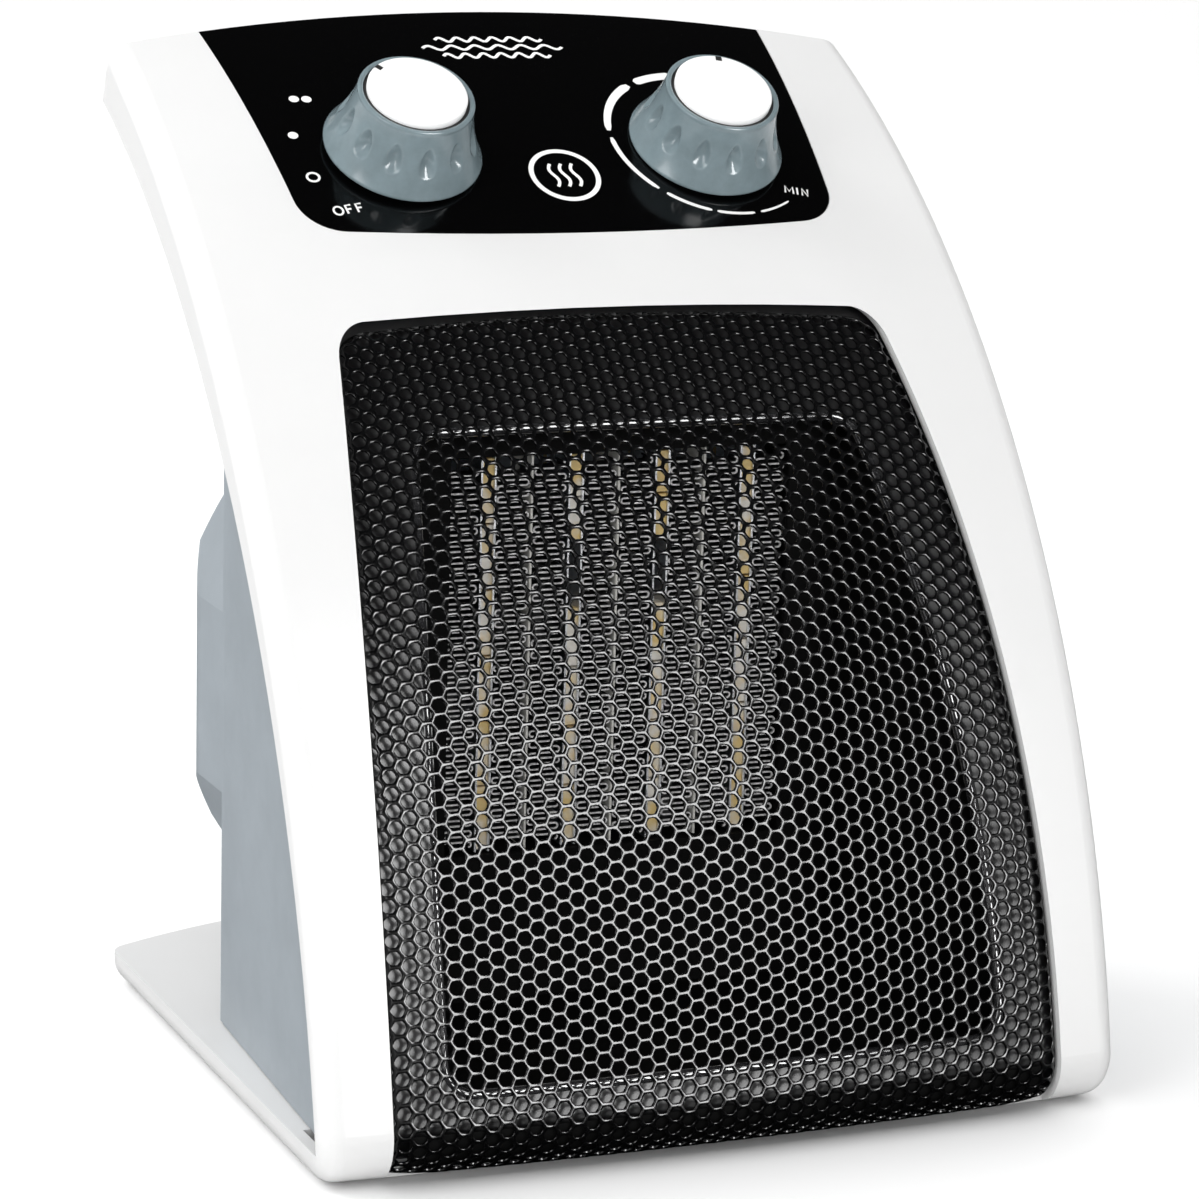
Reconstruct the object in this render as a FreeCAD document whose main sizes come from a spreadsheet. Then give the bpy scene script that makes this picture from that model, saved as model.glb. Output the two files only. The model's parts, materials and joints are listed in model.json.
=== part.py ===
import FreeCAD, Part
import math
import os
import re

import Sketcher
from FreeCAD import Placement, Rotation, Vector

# A free-standing ceramic (PTC) fan heater: a white C-shaped front and base moulding, a black steel
# mesh that wraps round its foot, a sloping control panel with two knobs, and a grey housing behind it
# that holds the heating element, the fan and the switches.  Millimetres, +X right, -Y front, +Z up.
# The origin is at floor level, at the middle of the footprint.

FOOTPRINT_DEPTH = 179.4
FRONT = -90.0                         # the front tangent plane; the bend at the foot stops just short of it
FOOT = 0.8                            # the feet lift the mouldings this far off the floor

DIMENSIONS = {
    # front and base moulding
    "shell_width": 180.0, "shell_wall": 2.6, "foot_rise": FOOT, "front_y": FRONT,
    "arc_radius": 286.5, "arc_y": FRONT + 282.1, "arc_z": FOOT - 38.8, "crown_radius": 1093.0,
    "bend_radius": 10.4, "side_round": 5.0, "arc_start": 10.25, "arc_end": 65.65,
    "top_bow_radius": 488.0, "rim_depth_low": 8.8, "rim_depth_mid": 13.3, "rim_depth_top": 18.1,
    "base_thick": 7.2, "base_rear_radius": 187.0, "base_wall": 6.0, "base_corner": 6.0, "deck_thick": 2.0,
    "deck_front": FRONT + 24.0, "base_rear": FRONT + FOOTPRINT_DEPTH,
    # mesh and the frame behind it
    "mesh_inset": 0.2, "mesh_thick": 0.8, "mesh_half_low": 75.5, "mesh_half_top": 62.7,
    "mesh_top_angle": 44.8, "mesh_top_bow": 2.0, "mesh_corner": 8.0, "gap": 0.15,
    "frame_inset": 3.4, "frame_thick": 1.8, "frame_half": 80.0, "frame_top_angle": 47.0,
    "window_half_low": 62.5, "window_half_high": 50.0, "window_low": 18.5, "window_high": 143.0,
    "window_corner": 6.0,
    # control panel and its knobs
    "panel_thick": 1.3, "panel_half_low": 62.8, "panel_half_top": 70.6, "panel_low_angle": 50.45,
    "panel_bow": 4.5, "panel_corner": 11.0, "mode_x": -35.3, "stat_x": 37.3, "knob_angle": 55.0,
    "knob_base_r": 17.8, "knob_waist_r": 15.0, "knob_top_r": 12.8, "knob_in_r": 15.6, "knob_in_top_r": 10.6,
    "knob_rise": 0.4, "knob_skirt": 1.2, "knob_waist": 7.0, "knob_high": 15.9, "knob_roof": 13.3,
    "knob_lip": 11.7, "knob_seat": 15.1, "cap_r": 11.2, "cap_high": 17.1, "hub_r": 5.2, "hub_low": 4.0,
    "hub_bore": 3.05, "shaft_r": 3.0, "bush_r": 4.5, "bush_top": 3.2, "bush_bore": 3.05, "shaft_top": 12.9,
    "nut_r": 7.2, "nut_low": 0.2, "nut_thick": 2.4, "nut_bore": 4.55, "panel_hole": 4.8,
    "control_gap": 3.8, "switch_side": 30.0, "switch_deep": 14.0, "stat_long": 34.0, "stat_wide": 22.0,
    "stat_deep": 10.2, "tab_thick": 0.8, "tab_wide": 4.8, "tab_long": 5.0,
    # grey housing
    "housing_half_front": 86.0, "housing_half_rear": 82.5, "housing_wall": 2.2, "housing_low": FOOT + 7.5,
    "housing_rear": FRONT + 94.0, "housing_inset": 6.4, "back_radius": 257.5,
    "back_end_angle": 62.5, "housing_high": FOOT + 137.1,
    # rear cover
    "cover_front": FRONT + 94.2, "cover_flange": FRONT + 96.4, "cover_half": 82.3,
    "cover_deep": FRONT + 133.0, "cover_mid": 70.0, "cover_foot": 28.0,
    "cover_head": 136.5, "cover_flank": FRONT + 113.0,
    "cover_corner": 16.0, "cover_shoulder": 9.0, "cover_haunch": 17.0, "cover_crown": FRONT + 134.0, "cover_wall": 2.0,
    "slot_high": 3.2, "slot_pitch": 6.4,
    # heating element
    "duct_half_front": 67.0, "duct_half_rear": 53.0, "duct_wall": 1.5, "duct_low": 13.5, "duct_high": 145.0,
    "element_y": FRONT + 74.2,
    "element_deep": 13.0, "element_half": 39.6, "element_low": 48.0, "element_high": 135.7,
    "element_rim": 5.0, "bar_pitch": 20.2, "stone_thick": 2.6, "strip_thick": 0.45, "fin_thick": 0.35,
    "fin_pitch": 2.8, "separator_thick": 0.5,
    # fan
    "fan_z": 76.8, "fan_r": 40.0, "hub_radius": 12.0, "fan_front": FRONT + 92.6, "hub_deep": 11.5,
    "shroud_in": 42.0, "shroud_out": 44.4, "shroud_front": FRONT + 89.4, "shroud_deep": 10.6,
    "flange_half": 47.0, "flange_thick": 1.8, "arm_y": FRONT + 106.4, "arm_thick": 2.2, "arm_wide": 6.0,
    "motor_r": 15.0, "motor_front": FRONT + 108.8, "motor_deep": 15.6, "spindle_r": 1.15, "spindle_bore": 1.2,
    # safety switch, wiring and cable inlet
    "tip_x": -68.0, "tip_y": FRONT + 70.0, "tip_r": 2.2, "tip_bore": 2.3, "tip_pad_r": 5.0, "tip_pad": 1.2,
    "tip_top": 25.0, "tip_box_low": 18.0, "tip_box_high": 34.0, "gland_x": 44.0, "gland_z": 18.0,
    "gland_r": 6.0, "gland_head_r": 8.0, "gland_bore": 3.4, "wire_r": 1.1,
    # screws and feet
    "screw_r": 1.5, "screw_bore": 1.55, "head_r": 2.9, "head_high": 1.4, "boss_r": 3.6, "pad_r": 6.0,
}

os.makedirs("parts", exist_ok=True)
doc = FreeCAD.newDocument("ceramic_heater")
sheet = doc.addObject("Spreadsheet::Sheet", "Dimensions")
for row, (alias, number) in enumerate(DIMENSIONS.items(), 1):
    sheet.set(f"A{row}", alias)
    sheet.set(f"B{row}", repr(number))
    sheet.setAlias(f"B{row}", alias)
doc.recompute()

nodes = []                            # every finished sub-part, in building order


# ---------------------------------------------------------------- helpers

def size(alias):
    """The sheet's value of one driving dimension."""
    return float(sheet.get(alias))


def bound(text):
    """An expression on the sheet, from text written with its aliases."""
    return re.sub(r"[a-z][a-z_]*", lambda word: "Dimensions." + word.group(), text)


def amount(text):
    """The number that a term such as "-shell_width/2" stands for."""
    sign, name, divisor = re.fullmatch(r"(-?)([a-z_0-9.]+)(?:/(\d+))?", text).groups()
    number = size(name) if name in DIMENSIONS else float(name)
    return (-number if sign else number) / float(divisor or 1)


def keep(piece, label=None):
    """Names a finished sub-part, so that it is written out."""
    if label:
        piece.Label = label
    nodes.append(piece)
    return piece


def primitive(kind, name, lengths, base=("0", "0", "0"), rotation=None, frame=None):
    """A Part primitive with every length bound to the sheet, placed in the row or in a local frame."""
    piece = doc.addObject("Part::" + kind, name)
    for prop, text in lengths.items():
        piece.setExpression(prop, bound(text))
    turn = rotation or Rotation()
    if frame is None:
        piece.Placement = Placement(Vector(), turn)
        for axis, text in zip("xyz", base):
            piece.setExpression("Placement.Base." + axis, bound(text))
    else:
        piece.Placement = frame.multiply(Placement(Vector(*[amount(t) for t in base]), turn))
    return piece


def box(name, lengths, base, **place):
    return primitive("Box", name, dict(zip(("Length", "Width", "Height"), lengths)), base, **place)


def rod(name, radius, length, base, **place):
    return primitive("Cylinder", name, {"Radius": radius, "Height": length}, base, **place)


def cut(name, base, *tools):
    """base less every tool."""
    result = doc.addObject("Part::Cut", name)
    result.Base = base
    if len(tools) == 1:
        result.Tool = tools[0]
    else:
        result.Tool = group(name + "_tools", *tools)
    return result


def fuse(name, *pieces):
    result = doc.addObject("Part::MultiFuse", name)
    result.Shapes = list(pieces)
    return result


def group(name, *pieces):
    """Separate solids that share one node."""
    result = doc.addObject("Part::Compound", name)
    result.Links = list(pieces)
    return result


def feature(name, shape):
    """A sub-part whose doubly curved shape is built directly."""
    piece = doc.addObject("Part::Feature", name)
    piece.Shape = shape
    return piece


def body_sketch(body, points, plane="XY_Plane", arcs=None):
    """A closed outline in a body's plane: each corner is a pair of terms on the sheet, and arcs maps a
    side's number to the point that it bulges through."""
    arcs = arcs or {}
    support = [item for item in body.Origin.OriginFeatures if item.Role == plane][0]
    sketch = body.newObject("Sketcher::SketchObject", body.Name + "_outline")
    sketch.AttachmentSupport = [(support, "")]
    sketch.MapMode = "FlatFace"
    corners = [Vector(amount(x), amount(y), 0) for x, y in points]
    count = len(corners)
    for side, start in enumerate(corners):
        end = corners[(side + 1) % count]
        if side in arcs:
            middle = Vector(amount(arcs[side][0]), amount(arcs[side][1]), 0)
            sketch.addGeometry(flat_arc(start, middle, end), False)
        else:
            sketch.addGeometry(Part.LineSegment(start, end), False)
    ends = [outline_ends(sketch.Geometry[side], corners[side]) for side in range(count)]
    for side in arcs:
        sketch.addConstraint(Sketcher.Constraint("Radius", side, sketch.Geometry[side].Radius))
    for side in range(count):
        after = (side + 1) % count
        sketch.addConstraint(Sketcher.Constraint("Coincident", side, ends[side][1], after, ends[after][0]))
    for side, (x, y) in enumerate(points):
        for kind, text in (("DistanceX", x), ("DistanceY", y)):
            number = sketch.addConstraint(
                Sketcher.Constraint(kind, -1, 1, side, ends[side][0], amount(text)))
            if re.search("[a-z]", text):
                sketch.setExpression(f"Constraints[{number}]", bound(text))
    return sketch


def flat_arc(start, middle, end):
    """The arc through three points of a sketch, drawn anticlockwise as a sketch holds it."""
    circle = Part.Arc(start, middle, end).toShape().Curve
    centre = circle.Center
    first, halfway, last = [math.atan2(p.y - centre.y, p.x - centre.x) for p in (start, middle, end)]
    if (halfway - first) % (2 * math.pi) > (last - first) % (2 * math.pi):
        first, last = last, first
    return Part.ArcOfCircle(Part.Circle(centre, Vector(0, 0, 1), circle.Radius), first, last)


def outline_ends(curve, start):
    """The sketcher's numbers for a curve's first and last point along the outline."""
    return (1, 2) if curve.StartPoint.distanceToPoint(start) < 1e-6 else (2, 1)


def padded(name, points, length, place=None, plane="XY_Plane"):
    """A PartDesign body: an outline and its pad."""
    body = doc.addObject("PartDesign::Body", name)
    sketch = body_sketch(body, points, plane)
    pad = body.newObject("PartDesign::Pad", name + "_pad")
    pad.Profile = sketch
    pad.setExpression("Length", bound(length))
    sketch.Visibility = False
    body.Placement = place or Placement()
    return body


def turned(name, points, place=None, arcs=None):
    """A PartDesign body turned about its own Z axis from an outline in its XZ plane."""
    body = doc.addObject("PartDesign::Body", name)
    sketch = body_sketch(body, points, "XZ_Plane", arcs)
    spin = body.newObject("PartDesign::Revolution", name + "_turn")
    spin.Profile = sketch
    spin.ReferenceAxis = (sketch, ["V_Axis"])
    spin.Angle = 360
    sketch.Visibility = False
    body.Placement = place or Placement()
    return body


# ---------------------------------------------------------------- the doubly curved front

WIDTH = size("shell_width")
HALF = WIDTH / 2
RADIUS = size("arc_radius")
CENTRE = Vector(0, size("arc_y"), size("arc_z"))
ACROSS = Vector(1, 0, 0)
FAR = 400.0                           # longer than the heater, for cutting tools


def on_arc(depth, angle, x=0.0):
    """The point that lies depth behind the front's centre line, at an angle up its arc."""
    turn = math.radians(angle)
    reach = RADIUS - depth
    return Vector(x, CENTRE.y - reach * math.cos(turn), CENTRE.z + reach * math.sin(turn))


def arc_height(angle):
    return on_arc(0, angle).z


def edge(*points):
    """A straight edge between two points, or an arc through three."""
    curve = Part.Arc(*points) if len(points) == 3 else Part.LineSegment(*points)
    return curve.toShape()


def outline(*edges):
    return Part.Face(Part.Wire(Part.sortEdges(list(edges))[0]))


def crowned_block(inset, half, floor, end_angle=70.0, depth=70.0):
    """A solid whose front is the heater's front, set back by inset: crowned across, and an arc up."""
    reach = RADIUS - inset
    crown = size("crown_radius") - inset
    sag = crown - math.sqrt(crown ** 2 - half ** 2)
    start = -8.0

    def at(x, distance):
        turn = math.radians(start)
        return Vector(x, CENTRE.y - distance * math.cos(turn), CENTRE.z + distance * math.sin(turn))

    left, middle, right = at(-half, reach - sag), at(0, reach), at(half, reach - sag)
    back_left, back_right = at(-half, RADIUS - depth), at(half, RADIUS - depth)
    section = outline(edge(left, middle, right), edge(right, back_right),
                      edge(back_right, back_left), edge(back_left, left))
    solid = section.revolve(CENTRE, -ACROSS, end_angle - start)
    below = Part.makeBox(FAR, FAR, FAR, Vector(-FAR / 2, -FAR / 2, floor - FAR))
    return solid.cut(below)


def bent_block(inset, half, side_round, end_angle=70.0, depth=70.0):
    """A crowned block with the bend at its foot and rounded side edges."""
    floor = FOOT + inset
    solid = crowned_block(inset, half, floor, end_angle, depth)
    low = [e for e in solid.Edges if e.BoundBox.ZMax < floor + 0.01 and e.BoundBox.XLength > half]
    front_edge = min(low, key=lambda e: e.BoundBox.YMin)
    solid = solid.makeFillet(size("bend_radius") - inset, [front_edge])
    if side_round > 0:
        reach = RADIUS - inset - 8
        sides = [e for e in solid.Edges
                 if e.BoundBox.XLength < 0.01 and abs(e.BoundBox.XMin) > half - 0.01
                 and e.BoundBox.ZLength > 3 and is_front(e, reach)]
        solid = solid.makeFillet(side_round, sides)
    return solid


def is_front(side_edge, reach):
    """Whether a side edge lies on the front or the bend rather than behind them."""
    spots = [side_edge.valueAt(side_edge.FirstParameter + part * (side_edge.LastParameter
             - side_edge.FirstParameter)) for part in (0.2, 0.5, 0.8)]
    return all(math.hypot(spot.y - CENTRE.y, spot.z - CENTRE.z) > reach or
               (spot.z < FOOT + 14 and spot.y < FRONT + 14) for spot in spots)


def extruded_profile(edges, half):
    """A side-view outline run across the heater, centred."""
    face = outline(*edges)
    face.translate(Vector(-half, 0, 0))
    return face.extrude(Vector(2 * half, 0, 0))


def side(y, z):
    return Vector(0, y, z)


def top_limit():
    """The cylinder that the moulding's bowed top edge is cut to."""
    radius = size("top_bow_radius")
    normal = (on_arc(-1, size("arc_end")) - on_arc(0, size("arc_end"))).normalize()
    down = normal.cross(ACROSS)
    if down.z > 0:
        down = -down
    start = on_arc(FAR, size("arc_end")) + down * radius
    return Part.makeCylinder(radius, 2 * FAR, start, normal)


def mesh_half(angle):
    """Half the mesh's width at an angle up the front: it narrows ever faster."""
    share = max(0.0, (angle - size("arc_start")) / (size("mesh_top_angle") - size("arc_start")))
    return size("mesh_half_low") - (size("mesh_half_low") - size("mesh_half_top")) * share ** 2


def mesh_prism(grow):
    """The mesh's outline seen from the front, run through the front wall, grown by a clearance."""
    low, high = size("arc_start"), size("mesh_top_angle")
    angles = [low + (high - low) * part for part in (0, 0.25, 0.5, 0.75, 1)]
    right = [Vector(mesh_half(a) + grow, 0, arc_height(a)) for a in angles]
    right[-1].z += grow
    left = [Vector(-p.x, 0, p.z) for p in right]
    bottom = FOOT - 5
    crest = Vector(0, 0, right[-1].z + size("mesh_top_bow"))
    foot_right, foot_left = Vector(right[0].x, 0, bottom), Vector(left[0].x, 0, bottom)
    curves = []
    for flank in (right, left):
        spline = Part.BSplineCurve()
        spline.interpolate(flank)
        curves.append(spline.toShape())
    face = outline(edge(foot_left, foot_right), edge(foot_right, right[0]), curves[0],
                   edge(right[-1], crest, left[-1]), curves[1], edge(left[0], foot_left))
    face.translate(Vector(0, FRONT - 20, 0))
    prism = face.extrude(Vector(0, 110, 0))
    corners = [e for e in prism.Edges if e.BoundBox.YLength > 100 and e.BoundBox.ZMin > 60]
    prism = prism.makeFillet(size("mesh_corner") + grow, corners)
    shelf = Part.makeBox(FAR, FAR, 30, Vector(-FAR / 2, FRONT + size("bend_radius") + grow, FOOT - 20))
    return prism.cut(shelf)


def panel_prism(grow, depth):
    """The control panel's outline, run depth deep into the sloping front."""
    low, high = size("panel_low_angle"), size("arc_end") + 3
    middle = (low + high) / 2
    normal = (on_arc(-1, middle) - on_arc(0, middle)).normalize()
    uphill = ACROSS.cross(normal)
    if uphill.z < 0:
        uphill = -uphill
    origin = on_arc(0, middle)

    def at(x, angle, lift=0.0):
        climb = RADIUS * math.sin(math.radians(angle - middle)) + lift
        return origin + ACROSS * x + uphill * climb

    half_low, half_top = size("panel_half_low") + grow, size("panel_half_top") + grow
    corners = [at(-half_low, low, -grow), at(half_low, low, -grow), at(half_top, high), at(-half_top, high)]
    dip = at(0, low, -grow - size("panel_bow"))
    face = outline(edge(corners[0], dip, corners[1]), edge(corners[1], corners[2]),
                   edge(corners[2], corners[3]), edge(corners[3], corners[0]))
    face.translate(normal * 40)
    prism = face.extrude(normal * -80)
    low_edges = [e for e in prism.Edges if abs(e.Length - 80) < 1
                 and min(e.CenterOfMass.distanceToPoint(corner) for corner in corners[:2]) < 1]
    prism = prism.makeFillet(size("panel_corner"), low_edges)
    return prism.cut(crowned_block(depth, HALF + 20, FOOT, 75.0, 150.0))


def knob_frame(x):
    """A knob's own frame: its origin on the front's surface and its Z axis square to the panel."""
    angle = size("knob_angle")
    crown = size("crown_radius")
    sag = crown - math.sqrt(crown ** 2 - x ** 2)
    return Placement(on_arc(sag, angle, x), Rotation(ACROSS, 90 - angle))


MODE, STAT = knob_frame(size("mode_x")), knob_frame(size("stat_x"))


# ---------------------------------------------------------------- white moulding

def rear_rim():
    """The hidden rear edge of the moulding's side walls, as an arc from foot to top."""
    deck_top = FOOT + size("base_thick")
    start = math.degrees(math.asin((deck_top - CENTRE.z) / (RADIUS - size("rim_depth_low"))))
    end = size("arc_end") + 2
    return [on_arc(size("rim_depth_low"), start), on_arc(size("rim_depth_mid"), (start + end) / 2),
            on_arc(size("rim_depth_top"), end)]


def base_slab(inset, low, high, front):
    """The base's plan, straight at the sides and bowed at the rear, as a slab between two heights."""
    half = HALF - inset
    rear = size("base_rear") - inset
    radius = size("base_rear_radius") - inset
    corner = rear - radius + math.sqrt(radius ** 2 - half ** 2)
    points = [Vector(-half, front, low), Vector(half, front, low),
              Vector(half, corner, low), Vector(0, rear, low), Vector(-half, corner, low)]
    face = outline(edge(points[0], points[1]), edge(points[1], points[2]),
                   edge(points[2], points[3], points[4]), edge(points[4], points[0]))
    return face.extrude(Vector(0, 0, high - low))


def boss_spots():
    """Where screws join the base plate to the moulding."""
    return [(x, y) for x in (-70.0, 70.0) for y in (FRONT + 40, FRONT + 150)]


def housing_spots():
    """Where screws join the housing's floor to the deck."""
    return [(x, y) for x in (-62.0, 62.0) for y in (FRONT + 36, FRONT + 86)]


def upright(radius, low, high, x, y):
    return Part.makeCylinder(radius, high - low, Vector(x, y, low))


def front_shell():
    wall = size("shell_wall")
    deck_top = FOOT + size("base_thick")
    deck_low = deck_top - size("deck_thick")
    low, middle, high = rear_rim()
    above = on_arc(-30, size("arc_end") + 2)
    profile = extruded_profile([
        edge(side(FRONT - 20, FOOT - 1), side(FAR, FOOT - 1)), edge(side(FAR, FOOT - 1), side(FAR, deck_top)),
        edge(side(FAR, deck_top), low), edge(low, middle, high),
        edge(high, above), edge(above, side(FRONT - 20, above.z)),
        edge(side(FRONT - 20, above.z), side(FRONT - 20, FOOT - 1))], FAR / 2)
    front = bent_block(0, HALF, size("side_round")).common(top_limit()).common(profile)
    slab = base_slab(0, FOOT, deck_top, FRONT + 30)
    corners = [e for e in slab.Edges if e.BoundBox.ZLength > 5 and e.BoundBox.YMin > FRONT + 60]
    slab = slab.makeFillet(size("base_corner"), corners)
    rims = [e for e in slab.Edges if e.BoundBox.ZMax < FOOT + 0.1 and e.BoundBox.YMax > FRONT + 31]
    slab = slab.makeFillet(size("side_round") - 0.01, rims)
    solid = front.fuse(slab)
    hollow = bent_block(wall, HALF - wall, size("side_round") - wall, 64.0)
    keep_base = Part.makeBox(FAR, FAR, deck_top - FOOT, Vector(-FAR / 2, size("deck_front"), FOOT))
    solid = solid.cut(hollow.cut(keep_base))
    solid = solid.cut(base_slab(size("base_wall"), FOOT - 1, deck_low, size("deck_front") + 2))
    for x, y in boss_spots():
        boss = upright(size("boss_r"), FOOT + 2.3, deck_low, x, y)
        solid = solid.fuse(boss).cut(upright(size("screw_bore"), FOOT, deck_low + 0.6, x, y))
    for x, y in housing_spots():
        boss = upright(size("boss_r"), FOOT + 2.3, deck_low, x, y)
        solid = solid.fuse(boss).cut(upright(size("screw_bore"), FOOT + 3, deck_top, x, y))
    solid = solid.cut(upright(size("tip_pad_r") + 0.6, FOOT, deck_top, size("tip_x"), size("tip_y")))
    opening = mesh_prism(0).cut(bent_block(wall + 0.6, HALF - wall, 0, 70.0, 120.0))
    solid = solid.cut(opening)
    solid = solid.cut(panel_prism(0, size("panel_thick") + 0.15))
    for frame in (MODE, STAT):
        hole = Part.makeCylinder(size("panel_hole"), 20, Vector(0, 0, -10))
        hole.Placement = frame
        solid = solid.cut(hole)
    return solid.removeSplitter()


def mesh_grille():
    inset, thick, gap = size("mesh_inset"), size("mesh_thick"), size("gap")
    sheet_metal = bent_block(inset, HALF - 5, 0).cut(bent_block(inset + thick, HALF - 4, 0, 72.0, 72.0))
    floor_cut = Part.makeBox(FAR, FAR, 2.6, Vector(-FAR / 2, FRONT + size("bend_radius"), FOOT))
    return sheet_metal.cut(floor_cut).common(mesh_prism(-gap))


def window_prism():
    """The air window in the frame: wide at the foot, narrower at the top, with bowed sides."""
    low, high = size("window_low"), size("window_high")
    wide, narrow = size("window_half_low"), size("window_half_high")
    middle = narrow + 0.75 * (wide - narrow)
    right = [Vector(wide, 0, low), Vector(middle, 0, (low + high) / 2), Vector(narrow, 0, high)]
    left = [Vector(-p.x, 0, p.z) for p in right]
    face = outline(edge(left[0], right[0]), edge(*right), edge(right[2], left[2]), edge(*left))
    face.translate(Vector(0, FRONT - 10, 0))
    prism = face.extrude(Vector(0, 110, 0))
    corners = [e for e in prism.Edges if e.BoundBox.YLength > 100]
    return prism.makeFillet(size("window_corner"), corners)


def grille_frame():
    inset, thick = size("frame_inset"), size("frame_thick")
    half = size("frame_half")
    limit = size("frame_top_angle")
    behind = bent_block(inset + thick, half + 1, 0, limit + 2, 72.0)
    floor = Part.makeBox(FAR, FAR, 12, Vector(-FAR / 2, FRONT + 12.5, FOOT - 1))
    return bent_block(inset, half, 0, limit).cut(behind).cut(floor).cut(window_prism())


def control_panel():
    plate = panel_prism(-size("gap"), size("panel_thick")).common(crowned_block(0.1, HALF, FOOT))
    plate = plate.common(top_limit())
    for frame in (MODE, STAT):
        hole = Part.makeCylinder(size("panel_hole"), 20, Vector(0, 0, -10))
        hole.Placement = frame
        plate = plate.cut(hole)
    return plate


keep(feature("front_shell", front_shell()))
keep(feature("mesh_grille", mesh_grille()))
keep(feature("grille_frame", grille_frame()))
keep(feature("control_panel", control_panel()))


# ---------------------------------------------------------------- base plate, feet and safety switch

def base_plate():
    inset = size("base_wall") + 0.2
    plate = base_slab(inset, FOOT + 0.1, FOOT + 2.1, size("deck_front") + 2.4)
    for x, y in boss_spots():
        plate = plate.cut(upright(size("head_r") + 0.1, FOOT, FOOT + 1.5, x, y))
        plate = plate.cut(upright(size("screw_bore"), FOOT, FOOT + 3, x, y))
    return plate.cut(upright(size("tip_pad_r") + 0.6, FOOT - 1, FOOT + 3, size("tip_x"), size("tip_y")))


def screws(name, spots, low, high):
    """Upright screws with their heads below: shank from the head to high."""
    pieces = []
    for number, (x, y) in enumerate(spots):
        place = (str(x), str(y), low)
        head = rod(f"{name}_head_{number}", "head_r", "head_high", place)
        shank = rod(f"{name}_shank_{number}", "screw_r", high, place)
        pieces.append(fuse(f"{name}_{number}", head, shank))
    return group(name, *pieces)


keep(feature("base_plate", base_plate()))
keep(screws("base_plate_screws", boss_spots(), "foot_rise+0.1", "4.4"))
FOOT_SPOTS = [(x, y) for x in (-72.0, 72.0) for y in (FRONT + 54, FRONT + 138)]
keep(group("rubber_feet", *[
    rod(f"foot_{number}", "pad_r", "foot_rise+0.1", (str(x), str(y), "0"))
    for number, (x, y) in enumerate(FOOT_SPOTS)]))

TIP = ("tip_x", "tip_y")
keep(fuse("tip_plunger",
          rod("plunger_pad", "tip_pad_r", "tip_pad", (*TIP, "0")),
          rod("plunger_rod", "tip_r", "tip_top", (*TIP, "0"))))
tip_box = box("tip_box", ("12", "20", "tip_box_high-tip_box_low"), ("tip_x-6", "tip_y-10", "tip_box_low"))
keep(cut("tip_switch_body", tip_box, rod("tip_bore_tool", "tip_bore", "12", (*TIP, "tip_box_low-2"))))


# ---------------------------------------------------------------- grey housing and rear cover

def drafted(half_front, half_rear, front, rear, low, high):
    """A block whose sides draw in from front to rear."""
    points = [Vector(-half_front, front, low), Vector(half_front, front, low),
              Vector(half_rear, rear, low), Vector(-half_rear, rear, low)]
    return Part.Face(Part.makePolygon(points + points[:1])).extrude(Vector(0, 0, high - low))


def housing_profile(wall, front_depth, rear_reach):
    """The housing seen from the side: a deep lower bay and a shallow bay behind the controls."""
    low, rear = size("housing_low") + wall, size("housing_rear") + rear_reach
    reach = size("back_radius") + wall
    top_angle = size("back_end_angle") - wall * 0.22
    head = size("housing_high") - wall if rear_reach else size("housing_high")
    back_start = Vector(0, rear, head)
    depth = RADIUS - reach
    join_angle = math.degrees(math.asin((head - CENTRE.z) / reach))
    join = on_arc(depth, join_angle)
    top_back, top_front = on_arc(depth, top_angle), on_arc(front_depth, top_angle)
    mid_angle = (top_angle + size("arc_start")) / 2
    foot_angle = math.degrees(math.asin((low - CENTRE.z) / (RADIUS - front_depth)))
    foot_front = on_arc(front_depth, foot_angle)
    curves = [edge(foot_front, side(rear, low)), edge(side(rear, low), back_start)]
    if join.distanceToPoint(back_start) > 0.01:
        curves.append(edge(back_start, join))
    curves += [edge(join, on_arc(depth, (join_angle + top_angle) / 2), top_back), edge(top_back, top_front),
               edge(top_front, on_arc(front_depth, mid_angle), foot_front)]
    return curves


def housing():
    front_half, rear_half = size("housing_half_front"), size("housing_half_rear")
    wall = size("housing_wall")
    span = (FRONT + 20, size("housing_rear") + 75)
    slope = (front_half - rear_half) / (size("housing_rear") - FRONT - 24)
    halves = [front_half - slope * (y - FRONT - 24) for y in span]
    outer = drafted(*halves, *span, 0, 240)
    outer = outer.common(extruded_profile(housing_profile(0, size("housing_inset"), 0), 100))
    inner = drafted(halves[0] - wall, halves[1] - wall, *span, 0, 240)
    inner = inner.common(extruded_profile(housing_profile(wall, -20, 6), 100))
    solid = outer.cut(inner)
    for x, y in housing_spots():
        solid = solid.cut(upright(size("screw_bore"), FOOT, FOOT + 12, x, y))
    return solid.cut(upright(size("tip_bore"), FOOT, FOOT + 12, size("tip_x"), size("tip_y")))


def cover_side_profile(inset):
    """The rear cover's bulge seen from the side: a tight arc below and a long one above."""
    deep, mid = size("cover_deep") - inset, size("cover_mid")
    face = size("cover_flange")
    foot, head = size("cover_foot") + inset, size("cover_head") - inset
    below, above = bulge_radius(deep - face, mid - foot), bulge_radius(deep - face, head - mid)
    lower = [side(face, foot), bulge_point(deep, mid, below, -1, mid - foot), side(deep, mid)]
    upper = [side(deep, mid), bulge_point(deep, mid, above, 1, head - mid), side(face, head)]
    front = size("cover_front") - 1
    return [edge(side(front, foot), side(face, foot)), edge(*lower), edge(*upper),
            edge(side(face, head), side(front, head)), edge(side(front, head), side(front, foot))]


def bulge_radius(rise, half_chord):
    """The radius of an arc that rises so far over half its chord."""
    return (rise ** 2 + half_chord ** 2) / (2 * rise)


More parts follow.
